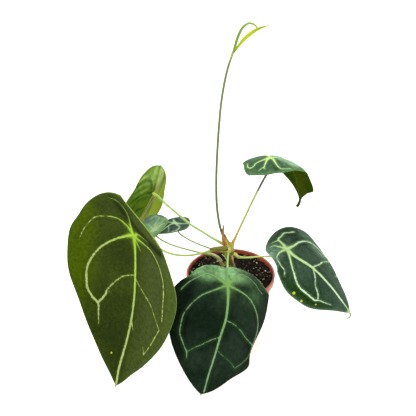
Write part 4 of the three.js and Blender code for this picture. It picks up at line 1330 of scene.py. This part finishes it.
class PLANT_OT_petioles(bpy.types.Operator):
    """Run a petiole from the stem to each blade, swollen at its foot and at its knee"""
    bl_idname = "object.plant_petioles"
    bl_label = "Add Petioles"

    def execute(self, context):
        settings = context.scene.plant.stalk
        green = tuple(settings.green)
        lime = (0.36, 0.52, 0.06)
        looks = {
            "a": ((0.4, 0.46, 0.05), green, lime),
            "b": ((0.46, 0.6, 0.16), (0.4, 0.64, 0.17), lime),
            "c": ((0.66, 0.68, 0.14), (0.56, 0.72, 0.17), lime),
            "d": ((0.72, 0.4, 0.1), (0.42, 0.5, 0.13), (0.1, 0.1, 0.07), 0.2, 0.62),
            "e": ((0.42, 0.52, 0.06), (0.42, 0.6, 0.17), (0.66, 0.82, 0.14)),
            "f": ((0.52, 0.36, 0.1), (0.34, 0.5, 0.1), green),
            "g": ((0.36, 0.44, 0.1), (0.24, 0.34, 0.08), (0.13, 0.16, 0.06)),
        }
        for name, look in looks.items():
            path = petiole_path(name)
            radius_at = lambda s, name=name: foot_radius(name, s)
            piece = stalk(f"petiole_{name}_skin", path, radius_at, settings.sides)
            material = stalk_material(f"Petiole {name.upper()}", *look)
            finish_piece(piece, "petiole_green", [f"petiole_{name}"], [material])
        return {"FINISHED"}


class PLANT_OT_blades(bpy.types.Operator):
    """Lay every blade with its veins, panels, velvet upper face and paler underside"""
    bl_idname = "object.plant_blades"
    bl_label = "Add Blades"

    def execute(self, context):
        settings = context.scene.plant.leaf
        group = leaf_markings()
        lime, pale = tuple(settings.vein_lime), tuple(settings.vein)
        olive, silver = tuple(settings.olive), tuple(settings.silver)
        finishes = {
            "a": Velvet(olive, (0.036, 0.056, 0.005), (0.052, 0.086, 0.0), (0.055, 0.076, 0.018),
                        (0.07, 0.115, 0.004), (0.33, 0.54, 0.04), (0.37, 0.46, 0.16),
                        ragged=0.9, reach=5, share=0.3, specular=0.03),
            "b": Velvet((0.0035, 0.011, 0.004), (0.012, 0.025, 0.013), (0.001, 0.006, 0.001),
                        (0.25, 0.48, 0.2), (0.02, 0.07, 0.015), (0.19, 0.37, 0.095), (0.21, 0.32, 0.165),
                        ragged=0.4, reach=5, share=0.3, specular=0.04),
            "c": Velvet((0.022, 0.05, 0.026), (0.04, 0.078, 0.044), (0.01, 0.038, 0.004),
                        (0.24, 0.4, 0.26), (0.1, 0.22, 0.08), (0.46, 0.66, 0.26), (0.56, 0.74, 0.46),
                        ragged=0.8, share=0.3, specular=0.05),
            "d": Velvet((0.045, 0.105, 0.05), (0.08, 0.16, 0.075), (0.09, 0.22, 0.06),
                        (0.27, 0.47, 0.26), (0.13, 0.28, 0.1), (0.58, 0.8, 0.24), (0.42, 0.64, 0.26),
                        ragged=0.4, specular=0.06),
            "e": Velvet(silver, (0.06, 0.11, 0.07), (0.05, 0.11, 0.04), (0.12, 0.22, 0.13),
                        (0.12, 0.24, 0.1), lime, pale, sheen=0.05),
            "f": Velvet((0.085, 0.15, 0.12), (0.13, 0.21, 0.16), (0.11, 0.24, 0.07),
                        (0.25, 0.4, 0.27), (0.24, 0.4, 0.2), (0.42, 0.6, 0.3), (0.28, 0.43, 0.2),
                        ragged=0.3, reach=3, share=0.5, specular=0.08),
            "g": Velvet((0.024, 0.05, 0.04), (0.08, 0.13, 0.105), (0.1, 0.17, 0.1),
                        (0.2, 0.32, 0.22), (0.16, 0.29, 0.18), (0.58, 0.8, 0.46), (0.55, 0.76, 0.46),
                        ragged=0.3, reach=3, share=0.5, specular=0.1),
        }
        bright = underside_material("Underside Bright", (0.068, 0.155, 0.0), (0.13, 0.25, 0.003),
                                    (0.18, 0.29, 0.012), 0.04, told=True)
        dim = underside_material("Underside Olive", (0.025, 0.053, 0.003), (0.05, 0.068, 0.004),
                                 (0.06, 0.09, 0.006), 0.0)
        soft = underside_material("Underside Green", (0.1, 0.17, 0.03), (0.13, 0.21, 0.04),
                                  (0.24, 0.34, 0.1))
        backs = {"d": dim, "e": bright}
        slots = {"a": "leaf_olive", "e": "leaf_underside"}
        for name, leaf in LEAVES.items():
            top = velvet_material(f"Velvet {name.upper()}", group, finishes[name])
            tones = getattr(self, f"tones_{name}")
            piece = blade(f"blade_{name}_skin", leaf, settings, tones, (top, backs.get(name, soft)))
            finish_piece(piece, slots.get(name, "leaf_dark"), [f"blade_{name}"])
        self.tip_curl(LEAVES["c"])
        return {"FINISHED"}

    def tip_curl(self, leaf):
        """The dried, rolled end of leaf C's drip tip."""
        stations = midrib(leaf)
        path = [Vector(row[1:4]) for row in stations[stations[:, 0] > leaf.tip - 1]]
        curl = stalk("tip_curl", smooth_path(path, 0.6), lambda s: 1.3 - 0.8 * s, 3)
        dried = stalk_material("Tip Curl", (0.3, 0.4, 0.14), (0.26, 0.24, 0.05), (0.36, 0.3, 0.08), 0.3,
                               0.8)
        finish_piece(curl, "leaf_dark", (), [dried])

    # Each tones method gives the shares of the border's colour, the painted highlight, the painted shade and
    # the glow's colour

    def tones_a(self, u, v, margin, gap):
        """Leaf A is yellower outside its loops and greyer at its right from a painted highlight, with a
        painted shade band over that lobe, painted shade beside its veins, left of its midrib and low down,
        and a painted highlight on its lit edge.
        """
        outside = span(v, -46, -72) * span(u, 165, 115) + 0.8 * span(v, 56, 64)
        upper = span(v, -40, -70) * span(u, 30, -10)
        low = 0.5 * fringe(margin, 6)
        line = [(-50, -22), (-42, -14), (-30, -8), (-18, 15), (-12, 41), (-8, 56)]
        band = hump(distance_to(line, u, v), 0, 5)
        behind = span(v, -30, -16)
        left = 0.35 * near(u, v, 38, -22, 26, 16)
        low_left = 0.5 * span(u, 70, 110) * span(v, 12, -4)
        # Painted shade beside the veins
        crease_shade = 0.4 * hump(gap, 2.2, 1.6)
        lit = hump(margin, 0, 1.9) * span(v, -20, -10) * span(u, -14, -22)
        return (np.maximum(outside, low) + 0.5 * upper, span(v, 3, 33) * 0.58 * np.clip(1 - band, 0, 1),
                1.35 * band * behind + crease_shade + left + low_left, hub_glow(u, v, gap, 1.15) + lit)

    def tones_b(self, u, v, margin, gap):
        """Leaf B has a painted highlight on its base lobes, most along their rim, beside its petiole, at the
        hub and on a patch at its right, and painted shade beside its veins and along its left side.
        """
        base = span(u, 0, -9)
        middle = 0.8 * base * hump(v, 1, 12)
        rim = 1.2 * fringe(margin, 3.4) * span(u, 2, -10)
        panel = 0.46 * base * span(v, 42, 18, 0.15) + 0.35 * near(u, v, -8, -28, 8, 12)
        right = 0.16 * near(u, v, 10, 38, 14, 14)
        hub = 0.2 * near(u, v, 4, 0, 12, 9)
        return (0.6 * fringe(margin, 8), middle + rim + panel + hub + right,
                0.5 * hump(gap, 3, 2.4) * span(u, 0, 20) + 0.85 * span(v, -38, -46),
                0.8 * hub_glow(u, v, gap, 0.9))

    def tones_c(self, u, v, margin, gap):
        """Leaf C has a painted highlight over its base, round its petiole, along its rim and on one patch,
        painted shade beside its veins and on another patch, and is deeper green at its lower left edge.
        """
        base = 0.6 * span(u, 1, -13) * span(v, 14, -2, 0.15)
        hub = 0.25 * np.exp(-(u * u + v * v) / 90)
        rim = 0.45 * fringe(margin, 1.6)
        right = 0.75 * near(u, v, 44, 46, 30, 10)
        dark = 0.55 * hump(gap, 3, 2.2) + 0.62 * near(u, v, 12, 36, 24, 12)
        curl = 1.2 * span(u, 113, 119)
        glow = hub_glow(u, v, gap, 0.75) + curl
        return span(v, -28, -46), np.maximum(base, hub) + rim + right, dark, glow

    def tones_d(self, u, v, margin, gap):
        """Leaf D has a painted highlight towards its fold, with painted shade in dark panels between its
        veins and on one patch.
        """
        panel = 0.5 * hump(gap, 4, 3) * span(margin, 3, 9) * span(u, 16, 4, 0.3)
        dark = 0.7 * near(u, v, -13, -27, 6, 6)
        shine = 1.75 * span(u, 6, 18) * span(v, -36, -24)
        return fringe(margin, 5), shine, panel + dark, hub_glow(u - 5, v - 8, gap, 0.95)

    def tones_e(self, u, v, margin, gap):
        """Leaf E from below: lime and brown streaks right of its midrib; painted highlights on pale bands at
        its left, over its base and beside its midrib; painted shade in the grooves and low down at its left,
        along one line and at its edge.
        """
        right, left = span(v, 0, -5), span(v, 0, 6)
        base = span(u, -8, -24)
        wavy = np.sin(u / 3.1 + 1.3 * np.sin(v / 5.3)) * np.sin(v / 4.4 + u / 9.0)
        wavy = wavy + 0.6 * np.sin(u / 1.9 + 2 * np.sin(v / 3.3))
        bands = left * (0.5 + 0.45 * wavy) * hump(gap, 5, 3.2) * span(u, 14, -10)
        # Painted shade in the grooves along the veins
        crease_shade = left * (0.6 + 0.3 * wavy) * hump(gap, 0, 2.6)
        low = left * 0.35 * span(u, 4, 30)
        greys = right * 0.45 * hump(v, -7, 7) * span(u, 6, -6)
        edge = 0.8 * fringe(margin, 1.3)
        streaks = hump(v, -11, 10) * span(u, -34, -22)
        base = 0.85 * base * span(v, -24, -15) * (1 - fringe(margin, 8))
        base = base * (0.3 + 0.7 * np.exp(-(np.maximum(v - 3, 0) / 14) ** 2))
        line = 0.8 * hump(v, -24, 4) * span(u, 10, -2)
        return right, base + bands + greys, crease_shade + low + line + edge, streaks

    def tones_f(self, u, v, margin, gap):
        """Leaf F is grey-green at its far left, greener at its right, with a faint painted highlight all
        over and painted shade beside its veins, and glows round its petiole.
        """
        hub = np.exp(-np.hypot(u + 3, v + 4) / 7)
        return span(v, -13, -5), 0.2, 0.35 * hump(gap, 1.8, 1.4), hub

    def tones_g(self, u, v, margin, gap):
        """Leaf G is pale along its edge, with a faint painted highlight all over and painted shade in dark
        panels.
        """
        return fringe(margin, 3), 0.1, 0.5 * hump(gap, 3, 2), hub_glow(u, v, gap, 0.5)


def distance_to(path, u, v):
    """Distance of each point from a line drawn on the blade."""
    return vein_distance([(0, 0, path)], u, v)


def hub_glow(u, v, gap, size):
    """A star of light round the petiole's end: it runs out along the veins."""
    far = np.hypot(u, v)
    ray = 0.25 + 2.4 * size * np.exp(-far / (11 * size))
    return np.exp(-gap / ray) * hump(far, 0, 17 * size)


class PLANT_OT_flower(bpy.types.Operator):
    """Raise the flower stalk with its spathe and its arched spadix"""
    bl_idname = "object.plant_flower"
    bl_label = "Add Flower"

    def execute(self, context):
        settings = context.scene.plant.stalk
        flared = lambda s: 1.5 * (1.14 - 0.2 * s) + 0.3 * math.exp(-((1 - s) / 0.012) ** 2)
        peduncle = stalk("peduncle_skin", smooth_path(PEDUNCLE, 1.6), flared, settings.sides)
        skin = stalk_material("Peduncle Skin", (0.2, 0.2, 0.04), (0.125, 0.17, 0.042), (0.3, 0.36, 0.04),
                              0.04, 0.93)
        finish_piece(peduncle, "petiole_green", ["peduncle"], [skin])
        self.spadix(settings)
        self.spathe(settings)
        return {"FINISHED"}

    def spadix(self, settings):
        path = smooth_path(SPADIX, 0.35)
        end = lambda s: 1 if s < 0.985 else 0.6
        blunt = lambda s: SPADIX_RADIUS * min(1, 0.62 + 1.6 * s) * (1 - 0.4 * s * s) * end(s)
        piece = stalk("spadix_skin", path, blunt, 8)
        points = places(piece.data) / MM
        rows = np.array([tuple(p) for p in path])
        nearest = np.linalg.norm(points[:, None] - rows[None], axis=2).argmin(1)
        out = points - rows[nearest]
        length = np.linalg.norm(out, axis=1, keepdims=True)
        out = out / np.maximum(length, 1e-6)
        turn = np.arctan2(out[:, 1], out[:, 2])
        bumps = np.abs(np.cos(nearest * 0.45 + 3 * turn) * np.cos(nearest * 0.45 - 3 * turn))
        points += out * (0.16 * bumps - 0.05)[:, None] * np.minimum(1, length)
        move_to(piece.data, points * MM)
        give(piece.data, "bumps", bumps)
        material, n, main = shader("Spadix Skin", 0.45, 0.4)
        green = tuple(settings.spadix)
        body = n.blend(n.ramp(n.attribute("bumps"), 0.2, 0.8), tuple(c * 0.6 for c in green), green)
        tip = n.blend(n.ramp(n.attribute("along"), 0.5, 1.0), body, (0.3, 0.45, 0.04))
        n.surface(main, tip, n.grain(n.object_place(), 2600, 2), 0.00015)
        finish_piece(piece, "spadix_green", ["spadix"], [material])

    def spathe(self, settings):
        """A narrow boat-shaped bract with its veins running lengthwise."""
        sideways = Vector(SPATHE_SIDEWAYS)

        def place_at(point, tangent, s, y):
            side = (sideways - tangent * sideways.dot(tangent)).normalized()
            up = tangent.cross(side)
            width = 0.45 + 0.9 * (1 - s) ** 2 + 1.8 * math.sin(math.pi * min(1, s ** 1.1)) ** 1.4
            return point + side * width * y * (1 - 0.1 * y * y) - up * width * (0.45 * (1 - y * y))

        piece = ribbon("spathe_skin", smooth_path(SPATHE, 0.5), 16, SPATHE_THICKNESS, place_at)
        material, n, main = shader("Spathe Skin", 0.4, 0.35)
        along = n.attribute("along")
        lines = n.math("SINE", n.times(n.attribute("across"), 26.0))
        base = tuple(settings.spathe)
        body = n.blend(n.ramp(lines, 0.2, 1.0, 0.0, 0.35), base, (0.34, 0.5, 0.03))
        body = n.blend(n.ramp(along, 0.0, 0.2, 0.8, 0.0), body, (0.26, 0.4, 0.03))
        body = n.blend(n.ramp(along, 0.75, 1.0, 0.0, 0.6), body, (0.62, 0.72, 0.08))
        n.surface(main, body, lines, 0.00015)
        finish_piece(piece, "spathe_lime", ["spathe"], [material])


class PLANT_OT_stage(bpy.types.Operator):
    """Set the floor, the soft light and the camera"""
    bl_idname = "object.plant_stage"
    bl_label = "Set Stage"

    def execute(self, context):
        settings = context.scene.plant.stage
        bpy.ops.mesh.primitive_plane_add(size=FLOOR_WIDTH)
        floor = named("floor")
        material, n, main = shader("Pale Floor", 0.9, 0.1)
        shade = n.ramp(n.grain(n.object_place(), 5, 3), 0.3, 0.7)
        white = tuple(settings.floor)
        n.link(n.blend(shade, white, tuple(c * 0.995 for c in white)), main.inputs["Base Color"])
        main.inputs["Emission Color"].default_value = (1, 1, 1, 1)
        main.inputs["Emission Strength"].default_value = settings.glow
        floor.data.materials.append(material)
        world = bpy.data.worlds.new("Studio")
        world.use_nodes = True
        back = world.node_tree.nodes["Background"]
        back.inputs["Color"].default_value = (1, 1, 1, 1)
        back.inputs["Strength"].default_value = settings.sky
        context.scene.world = world
        self.lamp("key_light", (-0.3, 0.25, 1.5), (-12, -8, 0), 1.3, settings.key)
        self.lamp("fill_light", (-1.3, -1.1, 0.9), (52, 0, -50), 1.0, settings.fill)
        bpy.ops.object.camera_add(location=CAMERA_PLACE, rotation=(math.pi / 2 - settings.tilt, 0, 0))
        camera = named("camera")
        camera.data.lens = LENS
        camera.data.sensor_width = SENSOR
        camera.data.clip_end = 50
        context.scene.camera = camera
        context.scene.view_settings.view_transform = "Standard"
        return {"FINISHED"}

    def lamp(self, name, place, turns, size, power):
        """A square lamp, turned by degrees about x, y and z."""
        bpy.ops.object.light_add(type="AREA", location=place, rotation=[math.radians(a) for a in turns])
        light = named(name)
        light.data.shape = "SQUARE"
        light.data.size = size
        light.data.energy = power


class PLANT_PT_parts(bpy.types.Panel):
    """Lists the plant's parts and their settings"""
    bl_idname = "PLANT_PT_parts"
    bl_label = "Potted Anthurium"
    bl_space_type = "VIEW_3D"
    bl_region_type = "UI"
    bl_category = "Plant"

    def draw(self, context):
        for operator in OPERATORS:
            self.layout.operator(operator.bl_idname)
        plant = context.scene.plant
        for group in (plant.leaf, plant.stalk, plant.pot, plant.stage):
            box = self.layout.box()
            for key in group.__annotations__:
                box.prop(group, key)


OPERATORS = (PLANT_OT_pot, PLANT_OT_soil, PLANT_OT_crown, PLANT_OT_petioles, PLANT_OT_blades,
             PLANT_OT_flower, PLANT_OT_stage)
CLASSES = (PLANT_LeafSettings, PLANT_StalkSettings, PLANT_PotSettings, PLANT_StageSettings,
           PLANT_Settings,
           *OPERATORS, PLANT_PT_parts)


def register():
    for made in CLASSES:
        bpy.utils.register_class(made)
    bpy.types.Scene.plant = PointerProperty(type=PLANT_Settings)


def unregister():
    del bpy.types.Scene.plant
    for made in reversed(CLASSES):
        bpy.utils.unregister_class(made)


def main():
    register()
    bpy.ops.object.plant_pot()
    bpy.ops.object.plant_soil()
    bpy.ops.object.plant_crown()
    bpy.ops.object.plant_petioles()
    bpy.ops.object.plant_blades()
    bpy.ops.object.plant_flower()
    bpy.ops.object.plant_stage()
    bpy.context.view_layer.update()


if __name__ == "__main__":
    main()
